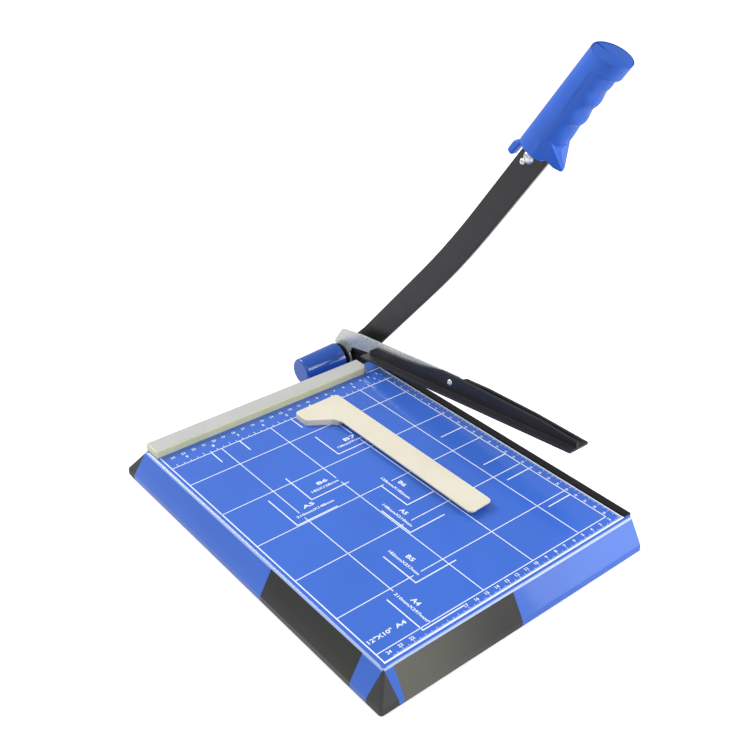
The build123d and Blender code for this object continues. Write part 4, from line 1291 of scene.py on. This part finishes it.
@dataclass
class Arm:
    """Blade arm with its ground edge, screw, rivet and handle."""

    grip: Grip = field(default_factory=Grip)
    screw: DomedScrew = DomedScrew("arm_screw_dome", "arm_screw", ARM, GRIP_LINE, (82.0, 3.3),
                                   radius=5.2, height=2.4, shank=2.5, recess=0.2)
    bar_ease: float = 0.2
    edge_start: float = 30.0
    edge_down: float = 0.9

    def bar(self) -> bpy.types.Object:
        """The arm's bar, with its narrow edge face in bright metal."""
        obj = dress(eased_node("arm_bar", "blade_arm", self.bar_ease), Finish.BLADE)
        obj.data.materials.append(Palette.of(Finish.LAND))
        count = len(obj.data.polygons)
        centre, normal = np.zeros(count * 3), np.zeros(count * 3)
        obj.data.polygons.foreach_get("center", centre)
        obj.data.polygons.foreach_get("normal", normal)
        centre, normal = centre.reshape(-1, 3) / MM, normal.reshape(-1, 3)
        down = normal @ -np.array(ARM_LINE.axes[2])
        along = (centre - np.array(ARM_LINE.origin)) @ np.array(ARM_LINE.axes[1])
        edge = (down > self.edge_down) & (along > self.edge_start)
        obj.data.polygons.foreach_set("material_index", edge.astype(int))
        return obj

    def build(self) -> None:
        """Builds the arm."""
        fit(self.bar(), ARM)
        for node in ("arm_nut", "arm_rivet", "grip_screws"):
            dress(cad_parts[node], Finish.STEEL)
        self.screw.build()
        self.grip.build()


# Stage

@dataclass
class Studio:
    """Pale floor, soft lamps and the camera at the photograph's angle.

    Each lamp has a name, its place from the target and its side in metres, and its power in watts.
    """

    target: tuple = (126.0, 94.9, 29.35)
    distance: float = 1011.3
    azimuth: float = -39.85
    elevation: float = 30.51
    lens: float = 50.58
    sensor: float = 36.0
    shift: float = -0.0428
    clip: tuple = (0.01, 30.0)
    floor_size: float = 6.0
    floor_tone: tuple = (0.8, 0.8, 0.8, 1.0)
    floor_deep: tuple = (0.78, 0.78, 0.78, 1.0)
    floor_share: float = 0.1
    floor_grain: Grain = Grain(3.0)
    floor_roughness: float = 0.9
    floor_specular: float = 0.1
    glow: float = 0.6
    world: float = 0.42
    mirror: float = 0.42
    lamps: tuple = (
        ("front", (0.6, -1.5, 0.8), 0.8, 10.5), ("near", (0.27, -0.59, 0.23), 0.25, 0.9),
        ("low", (0.7, -1.15, 0.05), 0.4, 1.2), ("left", (-1.2, -0.6, 1.3), 0.8, 6.0),
        ("rear", (-0.5, 1.3, 1.2), 0.9, 26.0))

    def stand(self, name: str, data: bpy.types.ID, away: np.ndarray) -> bpy.types.Object:
        """Stands a camera or a lamp away from the target, facing it, with the world's up.

        Args:
            name: name of the object.
            data: the camera or the lamp.
            away: its place from the target, in metres.

        Returns:
            The new object.
        """
        obj = bpy.data.objects.new(name, data)
        bpy.context.scene.collection.objects.link(obj)
        back = away / np.linalg.norm(away)
        right = np.cross([0.0, 0.0, 1.0], back)
        right /= np.linalg.norm(right)
        matrix = np.eye(4)
        matrix[:3, :3] = np.stack([right, np.cross(back, right), back], 1)
        matrix[:3, 3] = np.array(self.target) * MM + away
        obj.matrix_world = Matrix(matrix.tolist())
        return obj

    def camera(self) -> None:
        """Sets the camera at the photograph's azimuth and elevation."""
        data = bpy.data.cameras.new("photo_camera")
        data.lens, data.sensor_width, data.shift_x = self.lens, self.sensor, self.shift
        data.clip_start, data.clip_end = self.clip
        a, e = math.radians(self.azimuth), math.radians(self.elevation)
        back = np.array([math.sin(a) * math.cos(e), -math.cos(a) * math.cos(e), math.sin(e)])
        bpy.context.scene.camera = self.stand("photo_camera", data, back * self.distance * MM)

    @staticmethod
    def seen(paint: Paint) -> Value:
        """1 for rays from the camera and for refractions, and 0 for the rest."""
        ray = paint.node("ShaderNodeLightPath", output="Is Camera Ray")
        return ray.most(ray.other("Is Transmission Ray"))

    def floor(self) -> None:
        """Pale floor that keeps shadows, and that the camera sees lifted to white."""
        half = self.floor_size / 2
        corners = np.array([(-half, -half, 0), (half, -half, 0), (half, half, 0), (-half, half, 0)])
        floor = new_object("floor", corners, [(0, 1, 2, 3)], False)
        paint = Paint("floor_paper")
        glow = paint.mix(self.seen(paint), (0, 0, 0, 1), (1, 1, 1, 1))
        tone = paint.mix(paint.noise(self.floor_grain) * self.floor_share, self.floor_tone, self.floor_deep)
        paint.set(Base_Color=tone, Roughness=self.floor_roughness, Specular_IOR_Level=self.floor_specular,
                  Emission_Color=glow, Emission_Strength=self.glow)
        floor.data.materials.append(paint.owner)

    def sky(self) -> None:
        """White for the camera, a middle grey in reflections, and an even grey light for the rest."""
        paint = Paint("studio", world=True)
        glossy = paint.node("ShaderNodeLightPath", output="Is Glossy Ray")
        camera = glossy.other("Is Camera Ray")
        level = glossy * (self.mirror - self.world) + self.world
        paint.set(Color=(1.0, 1.0, 1.0, 1.0), Strength=level * (1.0 - camera) + camera)
        bpy.context.scene.world = paint.owner

    def build(self) -> None:
        """Sets camera, floor, world and lamps."""
        bpy.context.scene.view_settings.view_transform = "Standard"
        self.camera()
        self.floor()
        self.sky()
        for name, place, size, power in self.lamps:
            data = bpy.data.lights.new(name, "AREA")
            data.size, data.energy = size, power
            self.stand(name, data, np.array(place))
        log.info("stage ready")


def main() -> None:
    """Builds the trimmer's assemblies in order."""
    Studio().build()
    for assembly in (Table(), Guide(), Knife(), Guard(), Arm()):
        assembly.build()


if __name__ == "__main__":
    main()
